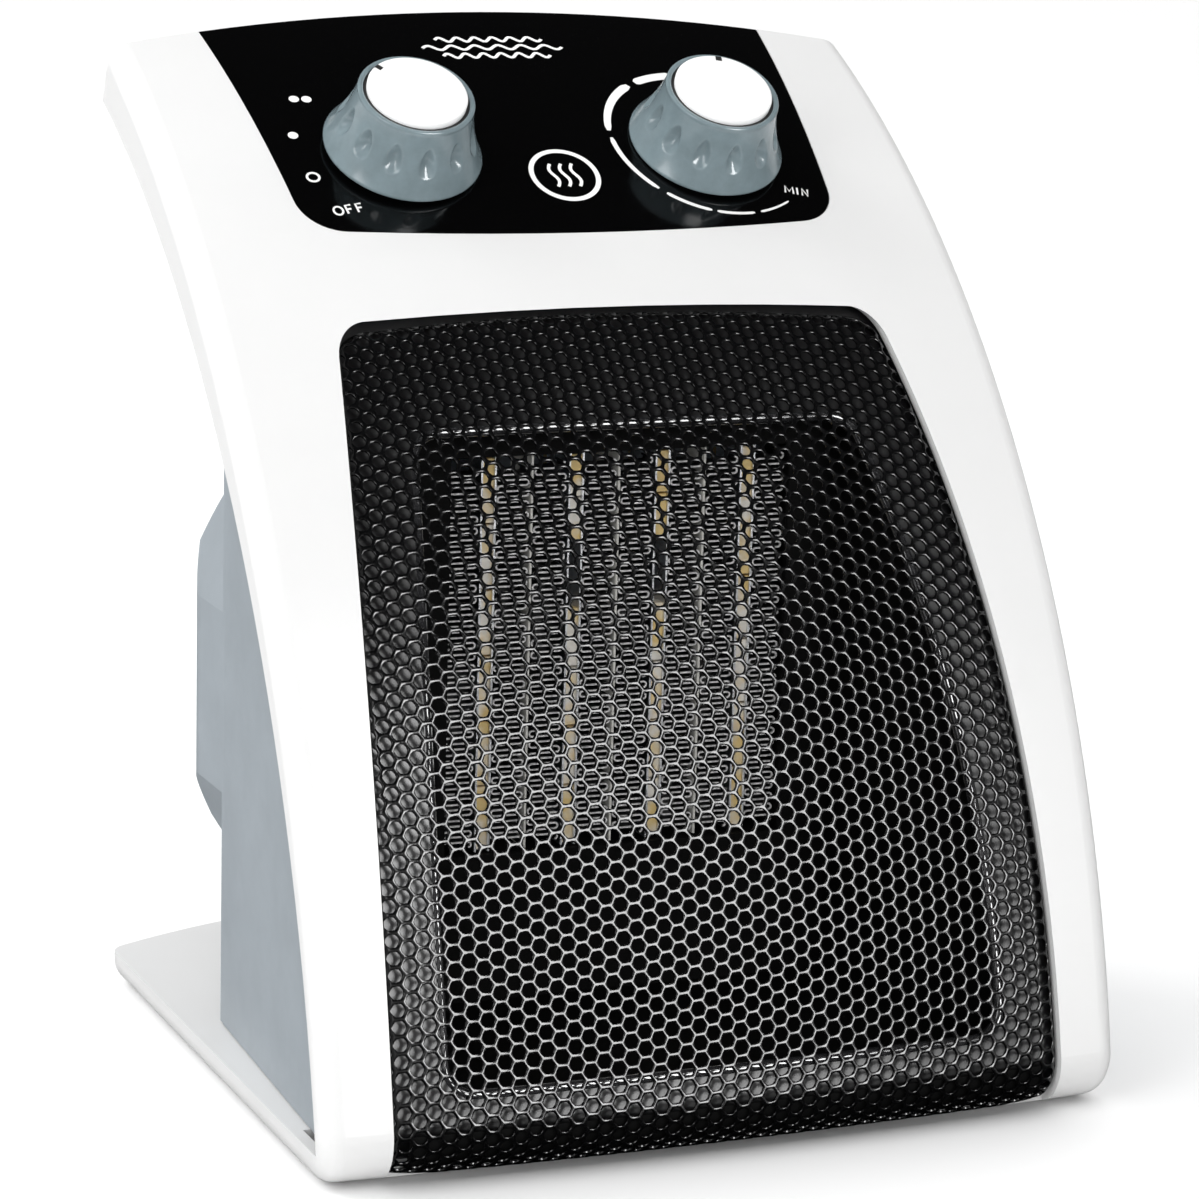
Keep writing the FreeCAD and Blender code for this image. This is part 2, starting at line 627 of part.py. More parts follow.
def bulge_point(deep, mid, radius, way, half_chord):
    """A point on that arc, about half way along it."""
    turn = math.asin(half_chord / radius) / 2
    return side(deep - radius + radius * math.cos(turn), mid + way * radius * math.sin(turn))


def cover_plan(inset):
    """The rear cover's bulge seen from above: straight flanks, round corners and a crowned back."""
    half, flank = size("cover_half") - inset, size("cover_flank")
    corner = size("cover_corner") - inset
    front = size("cover_front") - 1
    centre = Vector(half - corner, flank, 0)
    turn = math.radians(45)
    middle = centre + Vector(corner * math.cos(turn), corner * math.sin(turn), 0)
    end = centre + Vector(0, corner, 0)
    right = [Vector(half, front, 0), Vector(half, flank, 0), middle, end]
    left = [Vector(-p.x, p.y, p.z) for p in right]
    crest = Vector(0, size("cover_crown") - inset, 0)
    face = outline(edge(left[0], right[0]), edge(right[0], right[1]), edge(*right[1:]),
                   edge(end, crest, left[3]), edge(*left[:0:-1]), edge(left[1], left[0]))
    return face.extrude(Vector(0, 0, 200))


def cover_rear_outline(inset):
    """The rear cover's bulge seen from behind: widest at mid height, with sloping shoulders and haunches."""
    half = size("cover_half") - inset
    foot, head = half - size("cover_haunch"), half - size("cover_shoulder")
    corners = [(foot, 28.0), (half, 60.0), (half, 100.0), (head, 139.0)]
    right = [Vector(x, 0, z) for x, z in corners]
    left = [Vector(-x, 0, z) for x, z in reversed(corners)]
    points = right + left
    face = outline(*(edge(one, other) for one, other in zip(points, points[1:] + points[:1])))
    return face.extrude(Vector(0, FAR, 0))


def rear_cover():
    wall = size("cover_wall")
    front, half = size("cover_front"), size("cover_half")
    dome = extruded_profile(cover_side_profile(0), 100).common(cover_plan(0)).common(cover_rear_outline(0))
    hollow = extruded_profile(cover_side_profile(wall), 100).common(cover_plan(wall))
    hollow = hollow.common(cover_rear_outline(wall + 0.4))
    in_front = Part.makeBox(FAR, 50, FAR, Vector(-FAR / 2, front - 50, 0))
    flange = Part.makeBox(2 * half, size("cover_flange") - front, size("housing_high") - size("housing_low"),
                          Vector(-half, front, size("housing_low")))
    solid = dome.cut(in_front).fuse(flange).cut(hollow)
    slots = []
    rows = 11
    for row in range(rows):
        z = 42.0 + row * size("slot_pitch")
        for low, high in ((-57, -21), (-17, 17), (21, 57)):
            corner = Vector(low, size("cover_flange") + 8, z)
            slots.append(Part.makeBox(high - low, 60, size("slot_high"), corner))
    solid = solid.cut(Part.makeCompound(slots))
    for x in (-66.0, 66.0):
        hole = Part.makeCylinder(size("screw_bore"), 20, Vector(x, front - 5, 18.0), Vector(0, 1, 0))
        solid = solid.cut(hole)
    middle = Vector(size("gland_x"), front - 5, size("gland_z"))
    inlet = Part.makeCylinder(size("gland_r") + 0.1, 20, middle, Vector(0, 1, 0))
    return solid.cut(inlet).removeSplitter()


keep(feature("housing", housing()))
keep(feature("rear_cover", rear_cover()))
keep(group("housing_screws", *[
    fuse(f"housing_screw_{number}",
         rod(f"housing_head_{number}", "head_r", "head_high", (str(x), str(y), "housing_low+housing_wall")),
         rod(f"housing_shank_{number}", "screw_r", "6.4", (str(x), str(y), "housing_low-4")))
    for number, (x, y) in enumerate(housing_spots())]))

TO_REAR = Rotation(ACROSS, -90)       # turns a cylinder's axis to +Y
keep(group("rear_cover_screws", *[
    fuse(f"cover_screw_{number}",
         rod(f"cover_head_{number}", "head_r", "head_high", (x, "cover_flange", "18"), rotation=TO_REAR),
         rod(f"cover_shank_{number}", "screw_r", "5", (x, "cover_flange-4.6", "18"), rotation=TO_REAR))
    for number, x in enumerate(("-66", "66"))]))
keep(box("heat_shield", ("128", "20", "1.2"), ("-64", "front_y+74", "duct_high+0.6")))


# ---------------------------------------------------------------- heating element

def air_duct():
    """A square-cornered tunnel that narrows from the frame's window to the element's baffle plate."""
    front_half, rear_half, wall = size("duct_half_front"), size("duct_half_rear"), size("duct_wall")
    low, high = size("duct_low"), size("duct_high")
    rear = size("element_y") - 0.3
    depth = size("frame_inset") + size("frame_thick") + 0.6
    tube = drafted(front_half, rear_half, FRONT, rear, low, high)
    bore = drafted(front_half - wall, rear_half - wall, FRONT, rear - wall, low + wall, high - wall)
    window = Part.makeBox(2 * size("element_half"), 10, size("element_high") - size("element_low"),
                          Vector(-size("element_half"), rear - 5, size("element_low")))
    return tube.cut(bore).cut(window).common(crowned_block(depth, front_half + 10, FOOT, 75.0, 110.0))


def element_columns():
    """The X of each column of ceramic stones."""
    return [size("bar_pitch") * place for place in (-1.5, -0.5, 0.5, 1.5)]


def stone_spans(column):
    """Where stones lie in a column, as lengths up it: the two middle columns leave a gap near their top."""
    span = size("element_high") - size("element_low") - 1.0
    stacks = [(0.0, 1.0, 6)] if column in (0, 3) else [(0.0, 0.61, 4), (0.78, 1.0, 2)]
    for start, end, count in stacks:
        pitch = span * (end - start) / count
        for row in range(count):
            yield span * start + pitch * row + 0.25, pitch - 0.5


def stones():
    """Ceramic heating stones, stacked in columns between their electrode strips."""
    pieces = []
    for column, x in enumerate(element_columns()):
        for row, (rise, tall) in enumerate(stone_spans(column)):
            height = size("element_low") + 0.5 + rise
            place = (str(x - size("stone_thick") / 2), "element_y+0.6", str(height))
            pieces.append(box(f"stone_{column}_{row}", ("stone_thick", "element_deep-1.2", str(tall)), place))
    return pieces


def strips():
    """Two electrode strips to each column of stones."""
    pieces = []
    for column, x in enumerate(element_columns()):
        for hand in (-1, 1):
            inner = x + hand * (size("stone_thick") / 2 + 0.02)
            start = inner if hand > 0 else inner - size("strip_thick")
            pieces.append(box(f"strip_{column}_{hand + 1}",
                              ("strip_thick", "element_deep", "element_high-element_low-0.6"),
                              (str(start), "element_y", "element_low+0.3")))
    return pieces


def fin_spans():
    """The X span of each stack of fins, left to right."""
    bar = size("stone_thick") / 2 + size("strip_thick") + 0.07
    gap = size("separator_thick") / 2 + 0.05
    spans = []
    for x in element_columns():
        left = max(x - size("bar_pitch") / 2 + gap, -size("element_half") + 0.1)
        right = min(x + size("bar_pitch") / 2 - gap, size("element_half") - 0.1)
        spans += [(left, x - bar), (x + bar, right)]
    return spans


def fin_stack(left, right):
    """One corrugated aluminium ribbon, folded to and fro between two upright sides."""
    low, high = size("element_low") + 0.8, size("element_high") - 0.8
    folds = int((high - low) / size("fin_pitch")) * 2
    step = (high - low) / folds
    shift = size("fin_thick") * math.hypot(right - left, step) / step
    near, far = [], []
    for fold in range(folds + 1):
        height = low + fold * step
        near.append(Vector(right - shift if fold % 2 else left, 0, height))
        far.append(Vector(right if fold % 2 else left + shift, 0, height))
    far.reverse()
    face = Part.Face(Part.makePolygon(near + far + near[:1]))
    face.translate(Vector(0, size("element_y") + 0.5, 0))
    return face.extrude(Vector(0, size("element_deep") - 1, 0))


def element_frame():
    """The moulded frame that clamps the element."""
    half, rim = size("element_half"), size("element_rim")
    low, high = size("element_low"), size("element_high")
    outer = box("frame_block", ("2*element_half+2*element_rim", "element_deep",
                                "element_high-element_low+2*element_rim"),
                ("-element_half-element_rim", "element_y", "element_low-element_rim"))
    inner = box("frame_window", ("2*element_half", "element_deep+4", "element_high-element_low"),
                ("-element_half", "element_y-2", "element_low"))
    spots = [(x, z) for x in (-half - rim / 2, half + rim / 2) for z in (low + 6, high - 6)]
    holes = [rod(f"frame_hole_{number}", "screw_bore", "element_deep+4", (str(x), "element_y-2", str(z)),
                 rotation=TO_REAR) for number, (x, z) in enumerate(spots)]
    return cut("ptc_frame", outer, inner, *holes)


keep(feature("air_duct", air_duct()))
keep(element_frame())
keep(group("ptc_stones", *stones()))
keep(group("electrode_strips", *strips()))
keep(feature("heat_fins", Part.makeCompound([fin_stack(*span) for span in fin_spans()])))
keep(group("fin_separators", *[
    box(f"separator_{number}", ("separator_thick", "element_deep-0.6", "element_high-element_low-0.6"),
        (f"{place}*bar_pitch-separator_thick/2", "element_y+0.3", "element_low+0.3"))
    for number, place in enumerate(("-1", "0", "1"))]))
keep(group("element_terminals", *[
    box(f"terminal_{number}", ("tab_thick", "6", "4.8"),
        (f"{place}*bar_pitch-tab_thick/2", "element_y+element_deep-0.55", "element_high-7"))
    for number, place in enumerate(("-1.5", "-0.5", "0.5", "1.5"))]))
keep(rod("thermal_cutout", "6.5", "3.8", ("24", "element_y+6.5", "element_high+element_rim+0.1")))
keep(rod("thermal_fuse", "1.7", "11", ("-34", "element_y+6.5", "element_high+element_rim+2"),
         rotation=Rotation(Vector(0, 1, 0), 90)))
keep(group("element_screws", *[
    rod(f"element_screw_{number}", "screw_r", "element_deep+1",
        (f"{hand}*(element_half+element_rim/2)", "element_y-0.2", height), rotation=TO_REAR)
    for number, (hand, height) in enumerate((hand, height) for hand in ("-1", "1")
                                            for height in ("element_low+6", "element_high-6"))]))


# ---------------------------------------------------------------- fan

FAN = ("0", "fan_front", "fan_z")


def shroud():
    """A ring round the impeller on a square flange, with four arms that carry the motor behind it."""
    z = size("fan_z")
    front, deep = size("shroud_front"), size("shroud_deep")
    axis = Vector(0, 1, 0)
    half = size("flange_half")
    solid = Part.makeBox(2 * half, size("flange_thick"), 2 * half, Vector(-half, front, z - half))
    solid = solid.fuse(Part.makeCylinder(size("shroud_out"), deep, Vector(0, front, z), axis))
    solid = solid.cut(Part.makeCylinder(size("shroud_in"), deep + 2, Vector(0, front - 1, z), axis))
    arm_y, thick, wide = size("arm_y"), size("arm_thick"), size("arm_wide")
    centre = Vector(0, 0, z)
    arms = []
    for quarter in range(4):
        radial = Part.makeBox(size("shroud_out") - 4, thick, wide, Vector(4, arm_y, z - wide / 2))
        foot = Vector(size("shroud_in") + 0.2, front + deep - 2, z - wide / 2)
        post = Part.makeBox(size("shroud_out") - foot.x - 0.2, arm_y + thick - foot.y, wide, foot)
        arm = radial.fuse(post)
        arm.rotate(centre, axis, 45 + 90 * quarter)
        arms.append(arm)
    hub = Part.makeCylinder(size("motor_r") + 1, thick, Vector(0, arm_y, z), axis)
    solid = solid.fuse(arms + [hub])
    solid = solid.cut(Part.makeCylinder(3.2, 10, Vector(0, arm_y - 1, z), axis))
    for x in (-8.0, 8.0):
        solid = solid.cut(Part.makeCylinder(size("screw_bore"), 10, Vector(x, arm_y - 1, z), axis))
    return solid.removeSplitter()


def impeller():
    """A hub with seven pitched blades."""
    z, front, deep = size("fan_z"), size("fan_front"), size("hub_deep")
    axis = Vector(0, 1, 0)
    hub = Part.makeCylinder(size("hub_radius"), deep, Vector(0, front, z), axis)
    hub = hub.cut(Part.makeCylinder(size("hub_radius") - 2, deep, Vector(0, front + 2.5, z), axis))
    hub = hub.fuse(Part.makeCylinder(3.5, deep - 1, Vector(0, front, z), axis))
    solid = hub
    chord, thick, inner = 17.0, 1.4, size("hub_radius") - 1.5
    for number in range(7):
        blade = Part.makeBox(chord, thick, size("fan_r") - inner, Vector(-chord / 2, -thick / 2, inner))
        blade.rotate(Vector(), Vector(0, 0, 1), 32)
        rounded = Part.makeCylinder(size("fan_r"), 30, Vector(0, -15, 0), axis)
        blade = blade.common(rounded)
        blade.rotate(Vector(), axis, 360.0 / 7 * number)
        blade.translate(Vector(0, front + deep / 2, z))
        solid = solid.fuse(blade)
    bore = Part.makeCylinder(size("spindle_bore"), deep + 4, Vector(0, front + 1.5, z), axis)
    return solid.cut(bore).removeSplitter()


keep(feature("fan_shroud", shroud()))
keep(feature("impeller", impeller()))
keep(rod("motor_shaft", "spindle_r", "motor_front-fan_front+10", ("0", "fan_front+1.6", "fan_z"),
         rotation=TO_REAR))
motor_block = rod("motor_block", "motor_r", "motor_deep", ("0", "motor_front", "fan_z"), rotation=TO_REAR)
motor_bore = rod("motor_bore", "spindle_bore", "14", ("0", "motor_front-1", "fan_z"), rotation=TO_REAR)
motor_taps = [rod(f"motor_tap_{number}", "screw_bore", "5", (x, "motor_front-1", "fan_z"), rotation=TO_REAR)
              for number, x in enumerate(("-8", "8"))]
keep(cut("motor_can", motor_block, motor_bore, *motor_taps))
keep(group("motor_screws", *[
    rod(f"motor_screw_{number}", "screw_r", "arm_thick+3", (x, "arm_y-0.6", "fan_z"), rotation=TO_REAR)
    for number, x in enumerate(("-8", "8"))]))


# ---------------------------------------------------------------- knobs, switches and their shafts

def knob(name, frame):
    """A flared, waisted knob with a recess on top for its cap and a hub inside."""
    points = [("hub_bore", "hub_low"), ("hub_r", "hub_low"), ("hub_r", "knob_roof"),
              ("knob_in_top_r", "knob_roof"), ("knob_in_r", "knob_rise"), ("knob_base_r", "knob_rise"),
              ("knob_base_r", "knob_skirt"), ("knob_top_r", "knob_high"), ("knob_lip", "knob_high"),
              ("knob_lip", "knob_seat"), ("hub_bore", "knob_seat")]
    return turned(name, points, frame, {6: ("knob_waist_r", "knob_waist")})


def knob_cap(name, frame):
    """The flat disc on top of a knob."""
    points = [("0", "knob_seat"), ("cap_r", "knob_seat"), ("cap_r", "cap_high"), ("0", "cap_high")]
    return turned(name, points, frame)


def nut(name, frame):
    block = primitive("Prism", name + "_block", {"Circumradius": "nut_r", "Height": "nut_thick"},
                      ("0", "0", "nut_low"), frame=frame)
    block.Polygon = 6
    return cut(name, block, rod(name + "_bore", "nut_bore", "6", ("0", "0", "-1"), frame=frame))


def control_body(name, half_long, half_wide, deep, frame):
    """A control's moulded case below the panel, with its threaded bush and the shaft's bore."""
    case = doc.addObject("Part::Box", name + "_case")
    case.setExpression("Length", bound("2*" + half_long))
    case.setExpression("Width", bound("2*" + half_wide))
    case.setExpression("Height", bound(deep))
    corner = Vector(-amount(half_long), -amount(half_wide), -size("control_gap") - size(deep))
    case.Placement = frame.multiply(Placement(corner, Rotation()))
    bush = rod(name + "_bush", "bush_r", "bush_top+control_gap+1", ("0", "0", "-4.8"), frame=frame)
    bore = rod(name + "_bore", "bush_bore", "bush_top+control_gap+8", ("0", "0", "-10"), frame=frame)
    return cut(name, fuse(name + "_solid", case, bush), bore)


def tabs(name, spots, frame, deep):
    """Push-on terminal tabs under a control's case."""
    pieces = []
    for number, (x, y) in enumerate(spots):
        tab = doc.addObject("Part::Box", f"{name}_{number}")
        tab.setExpression("Length", bound("tab_thick"))
        tab.setExpression("Width", bound("tab_wide"))
        tab.setExpression("Height", bound("tab_long"))
        low = -size("control_gap") - size(deep) - size("tab_long")
        tab.Placement = frame.multiply(Placement(Vector(x, y, low), Rotation()))
        pieces.append(tab)
    return group(name, *pieces)


for word, frame in (("mode", MODE), ("thermostat", STAT)):
    keep(knob(word + "_knob", frame))
    keep(knob_cap(word + "_knob_cap", frame))
keep(group("control_nuts", nut("mode_nut", MODE), nut("thermostat_nut", STAT)))
keep(control_body("rotary_switch_body", "switch_side/2", "switch_side/2", "switch_deep", MODE))
keep(control_body("thermostat_body", "stat_long/2", "stat_wide/2", "stat_deep", STAT))
keep(rod("rotary_switch_shaft", "shaft_r", "shaft_top+8", ("0", "0", "-8"), frame=MODE))
keep(rod("thermostat_shaft", "shaft_r", "shaft_top+8", ("0", "0", "-8"), frame=STAT))
keep(tabs("rotary_switch_tabs", [(-9, -9), (9, -9), (-9, 5), (9, 5)], MODE, "switch_deep"))
keep(tabs("thermostat_tabs", [(-14, -2.4), (12, -2.4)], STAT, "stat_deep"))
keep(box("thermostat_bimetal", ("22", "7", "0.5"), ("-11", "-3.5", "-18"), frame=STAT))


# ---------------------------------------------------------------- wiring and cable inlet

block = padded("terminal_block", [("58", "14"), ("76", "14"), ("76", "24"), ("58", "24")], "14",
               Placement(Vector(0, FRONT + 86, 0), Rotation(ACROSS, 90)))
keep(block)
GLAND = Placement(Vector(size("gland_x"), size("cover_flange") + 7, size("gland_z")), Rotation(ACROSS, 90))
keep(turned("cord_gland", [("gland_bore", "0"), ("gland_r", "0"), ("gland_head_r", "3.0"),
                           ("gland_head_r", "6.9"), ("gland_r", "6.9"), ("gland_r", "14"),
                           ("gland_bore", "14")], GLAND))


def wire(x, y, low, high, end):
    """One internal lead: straight up beside the duct, then across to a control's terminal tab."""
    bend = 8.0
    start, corner = Vector(x, y, low), Vector(x, y, high)
    way = (end - corner).normalize()
    half = way.getAngle(Vector(0, 0, -1)) / 2
    inside = (way - Vector(0, 0, 1)).normalize()
    middle = corner + inside * bend * (1 / math.cos(half) - math.tan(half))
    first, last = corner - Vector(0, 0, bend), corner + way * bend
    path = Part.Wire([edge(start, first), edge(first, middle, last), edge(last, end)])
    ring = Part.Wire(Part.makeCircle(size("wire_r"), start, Vector(0, 0, 1)))
    return path.makePipeShell([ring], True, False)


def internal_wires():
    tab_half = size("tab_wide") / 2
    switch_end = -size("control_gap") - size("switch_deep") - size("tab_long") - 1.5
    stat_end = -size("control_gap") - size("stat_deep") - size("tab_long") - 1.5
    leads = []
    for y, spot in ((FRONT + 80.2, -9), (FRONT + 76.7, 9)):
        leads.append(wire(-70.0, y, 36.0, 146.0, MODE.multVec(Vector(spot, tab_half - 9, switch_end))))
    for y, spot in ((FRONT + 82.5, 12), (FRONT + 79, -14)):
        leads.append(wire(70.0, y, 24.4, 148.0, STAT.multVec(Vector(spot, 0, stat_end))))
    return Part.makeCompound(leads)


keep(feature("internal_wires", internal_wires()))


# ---------------------------------------------------------------- checks and export

doc.recompute()
for item in doc.Objects:
    if "Invalid" in item.State or "Error" in item.State:
        raise RuntimeError(f"{item.Name} failed: {item.State}")
for piece in nodes:
    shape = piece.Shape
    if shape.isNull() or not shape.isValid() or not shape.Solids:
        raise RuntimeError(f"{piece.Label} has no valid solid")
    shape.exportStep(f"parts/{piece.Label}.step")
    limits = shape.BoundBox
    print(f"{piece.Label:22s} solids {len(shape.Solids):3d} volume {shape.Volume:10.1f} "
          f"x {limits.XMin:7.1f} {limits.XMax:7.1f} y {limits.YMin:7.1f} {limits.YMax:7.1f} "
          f"z {limits.ZMin:6.1f} {limits.ZMax:6.1f}")
print(len(nodes), "nodes")
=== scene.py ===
import json
import math
import random

import bpy
from mathutils import Matrix, Vector

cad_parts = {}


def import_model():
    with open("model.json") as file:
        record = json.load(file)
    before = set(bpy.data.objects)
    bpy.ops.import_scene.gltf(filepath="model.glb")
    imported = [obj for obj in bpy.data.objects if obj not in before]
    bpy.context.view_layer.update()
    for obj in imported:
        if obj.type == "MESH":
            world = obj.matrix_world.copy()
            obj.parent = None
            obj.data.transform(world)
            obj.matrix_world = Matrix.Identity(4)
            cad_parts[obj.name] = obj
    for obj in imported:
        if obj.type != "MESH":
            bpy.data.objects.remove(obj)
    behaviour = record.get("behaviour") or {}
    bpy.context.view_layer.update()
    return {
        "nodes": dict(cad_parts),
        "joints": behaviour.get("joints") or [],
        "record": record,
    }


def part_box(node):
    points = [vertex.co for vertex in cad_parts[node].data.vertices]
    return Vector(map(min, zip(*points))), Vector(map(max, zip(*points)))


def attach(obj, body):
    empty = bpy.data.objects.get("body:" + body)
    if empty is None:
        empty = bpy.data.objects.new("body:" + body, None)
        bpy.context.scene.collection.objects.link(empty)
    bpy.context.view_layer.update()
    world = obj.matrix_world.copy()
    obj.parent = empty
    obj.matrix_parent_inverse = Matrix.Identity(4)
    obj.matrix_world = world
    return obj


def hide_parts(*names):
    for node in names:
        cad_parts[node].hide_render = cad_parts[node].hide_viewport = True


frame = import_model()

# A ceramic fan heater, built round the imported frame.  Lengths are in millimetres on the heater and in
# metres for the stage, lamps and camera.  X is to the right, -Y to the front and Z up.  "up" is a length
# up the curved front from the top of the bend at its foot, and "depth" a distance behind the front.

MM = 0.001
HEATER = "heater"
FRONT = -90.0
FOOT = 0.8
ARC = 286.5                    # radius of the front, seen from the side
ARC_Y, ARC_Z = FRONT + 282.1, FOOT - 38.8
CROWN = 1093.0                 # radius of the front's crown, seen from above
BEND = 10.4                    # radius of the bend at the foot
BEND_Z = FOOT + BEND


# ---------------------------------------------------------------- materials

class Graph:
    """A node material under construction."""

    def __init__(self, name):
        self.material = bpy.data.materials.new(name)
        self.material.use_nodes = True
        self.tree = self.material.node_tree
        self.shader = self.tree.nodes["Principled BSDF"]
        self.place = self.add("ShaderNodeTexCoord").outputs["Object"]

    def add(self, kind, links=None, **values):
        node = self.tree.nodes.new(kind)
        for name, value in values.items():
            if hasattr(node, name):
                setattr(node, name, value)
        for name, value in (links or {}).items():
            socket = node.inputs[name]
            if isinstance(value, bpy.types.NodeSocket):
                self.tree.links.new(value, socket)
            else:
                socket.default_value = value
        return node

    def noise(self, grain_mm, detail=3.0, rough=0.55, stretch=(1, 1, 1)):
        """Noise whose blotches are about grain_mm across."""
        place = self.add("ShaderNodeMapping", {"Vector": self.place, "Scale": stretch}).outputs[0]
        node = self.add("ShaderNodeTexNoise", {"Vector": place, "Scale": 1000.0 / grain_mm, "Detail": detail,
                                               "Roughness": rough})
        return node.outputs["Fac"]

    def ramp(self, factor, low, high, start=0.35, end=0.65):
        """A number that runs from low to high as the factor runs from start to end."""
        node = self.add("ShaderNodeMapRange", {"Value": factor, "From Min": start, "From Max": end,
                                               "To Min": low, "To Max": high})
        return node.outputs["Result"]

    def blend(self, factor, one, other):
        node = self.tree.nodes.new("ShaderNodeMix")
        node.data_type = "RGBA"
        for socket, value in ((node.inputs[0], factor), (node.inputs[6], one), (node.inputs[7], other)):
            if isinstance(value, bpy.types.NodeSocket):
                self.tree.links.new(value, socket)
            elif socket is node.inputs[0]:
                socket.default_value = value
            else:
                socket.default_value = (*value, 1.0)
        return node.outputs[2]

    def bump(self, height, depth_mm, strength=1.0, under=None):
        links = {"Height": height, "Strength": strength, "Distance": depth_mm * MM}
        if under is not None:
            links["Normal"] = under
        return self.add("ShaderNodeBump", links).outputs["Normal"]

    def set(self, **values):
        """Puts a number, a colour or a link on the shader's own sockets."""
        for name, value in values.items():
            socket = self.shader.inputs[name.replace("_", " ")]
            if isinstance(value, bpy.types.NodeSocket):
                self.tree.links.new(value, socket)
            elif hasattr(value, "__len__"):
                socket.default_value = (*value, 1.0) if len(value) == 3 else value
            else:
                socket.default_value = value
        return self


def moulded(name, colour, rough, grain, depth, spread, mottle, wander=0.12, **extra):
    """Moulded plastic: a slow drift of tone over blotches of a size (mottle), a fine mould texture of a
    grain and a depth, and roughness that wanders by a share of itself."""
    g = Graph(name)
    tone = g.noise(mottle, 4.0)
    dark = [c * (1 - spread) for c in colour]
    light = [min(1.0, c * (1 + spread)) for c in colour]
    fine = g.noise(grain, 2.0)
    swell = g.noise(9.0, 1.0)
    coarse = g.bump(swell, depth * 2.5, 0.25)
    g.set(Base_Color=g.blend(g.ramp(tone, 0.0, 1.0, 0.3, 0.7), dark, light),
          Roughness=g.ramp(g.noise(5.0, 2.0), rough * (1 - wander), rough * (1 + wander), 0.1, 0.9),
          Normal=g.bump(fine, depth, 0.5, coarse), **extra)
    return g.material


def metal(name, colour, rough, grain, stretch, depth=0.01, spread=0.12):
    """Bare or plated metal: drawn streaks, tone that drifts and a few duller patches."""
    g = Graph(name)
    streak = g.noise(grain, 4.0, 0.6, stretch)
    patch = g.noise(7.0, 5.0)
    dark = [c * (1 - spread) for c in colour]
    g.set(Base_Color=g.blend(g.ramp(patch, 0.0, 1.0), dark, colour), Metallic=1.0,
          Roughness=g.ramp(streak, rough * 0.75, rough * 1.3, 0.3, 0.7),
          Normal=g.bump(streak, depth, 0.6))
    return g.material


def enamel(name, colour, rough, grain, depth, **extra):
    """Baked enamel on steel: near black, with the faint pimples of a sprayed coat."""
    g = Graph(name)
    pimple = g.noise(grain, 2.0)
    dust = g.noise(0.5, 3.0, 0.7)
    pale = [min(1.0, c * 2.2 + 0.004) for c in colour]
    g.set(Base_Color=g.blend(g.ramp(dust, 0.0, 1.0, 0.62, 0.8), colour, pale),
          Roughness=g.ramp(g.noise(3.0, 4.0), rough * 0.8, rough * 1.25),
          Normal=g.bump(pimple, depth, 0.4), **extra)
    return g.material


def ceramic(name):
    """Fired heating stone: yellow to pale brown in patches, chalky, with dark specks."""
    g = Graph(name)
    patch = g.noise(9.0, 3.0)
    speck = g.noise(0.45, 3.0, 0.7)
    warm = g.blend(g.ramp(patch, 0.0, 1.0, 0.42, 0.6), (0.86, 0.63, 0.24), (0.90, 0.86, 0.78))
    g.set(Base_Color=g.blend(g.ramp(speck, 0.0, 1.0, 0.68, 0.78), warm, (0.30, 0.16, 0.08)),
          Roughness=g.ramp(patch, 0.45, 0.7), Normal=g.bump(g.noise(0.3, 3.0), 0.02, 0.6))
    return g.material


def sleeve(name, colour):
    """Woven sleeve on an internal lead."""
    g = Graph(name)
    weave = g.add("ShaderNodeTexWave", {"Vector": g.place, "Scale": 700.0, "Distortion": 1.5, "Detail": 2.0},
                  bands_direction="DIAGONAL").outputs["Fac"]
    dark = [c * 0.7 for c in colour]
    g.set(Base_Color=g.blend(weave, dark, colour), Roughness=0.75, Normal=g.bump(weave, 0.05, 0.6))
    return g.material


def foil(name, front):
    """Thin foil with bright cut edges at the front; further in its colour turns near black, as painted shade
    between the folds.
    """
    g = Graph(name)
    back = g.add("ShaderNodeSeparateXYZ", {"Vector": g.place}).outputs["Y"]
    # painted shade: from 0.1 to 0.6 mm behind the front edge the colour fades to near black
    inward = g.ramp(back, 0.0, 1.0, front + 0.1 * MM, front + 0.6 * MM)
    grain = g.noise(1.1, 4.0, 0.7)
    bright = g.blend(g.ramp(grain, 0.0, 1.0), (0.42, 0.42, 0.43), (0.95, 0.94, 0.92))
    g.set(Base_Color=g.blend(inward, bright, (0.012, 0.012, 0.012)), Metallic=0.2,
          Roughness=g.ramp(grain, 0.35, 0.6), Normal=g.bump(grain, 0.03, 0.6), Specular_IOR_Level=0.3)
    return g.material


def floor_material():
    """Matt paper-white paint with faint clouds."""
    g = Graph("floor_paint")
    cloud = g.add("ShaderNodeTexNoise", {"Vector": g.place, "Scale": 1.3, "Detail": 2.0}).outputs["Fac"]
    g.set(Base_Color=g.blend(cloud, (0.90, 0.90, 0.90), (0.93, 0.93, 0.93)), Roughness=0.9,
          Specular_IOR_Level=0.1)
    return g.material


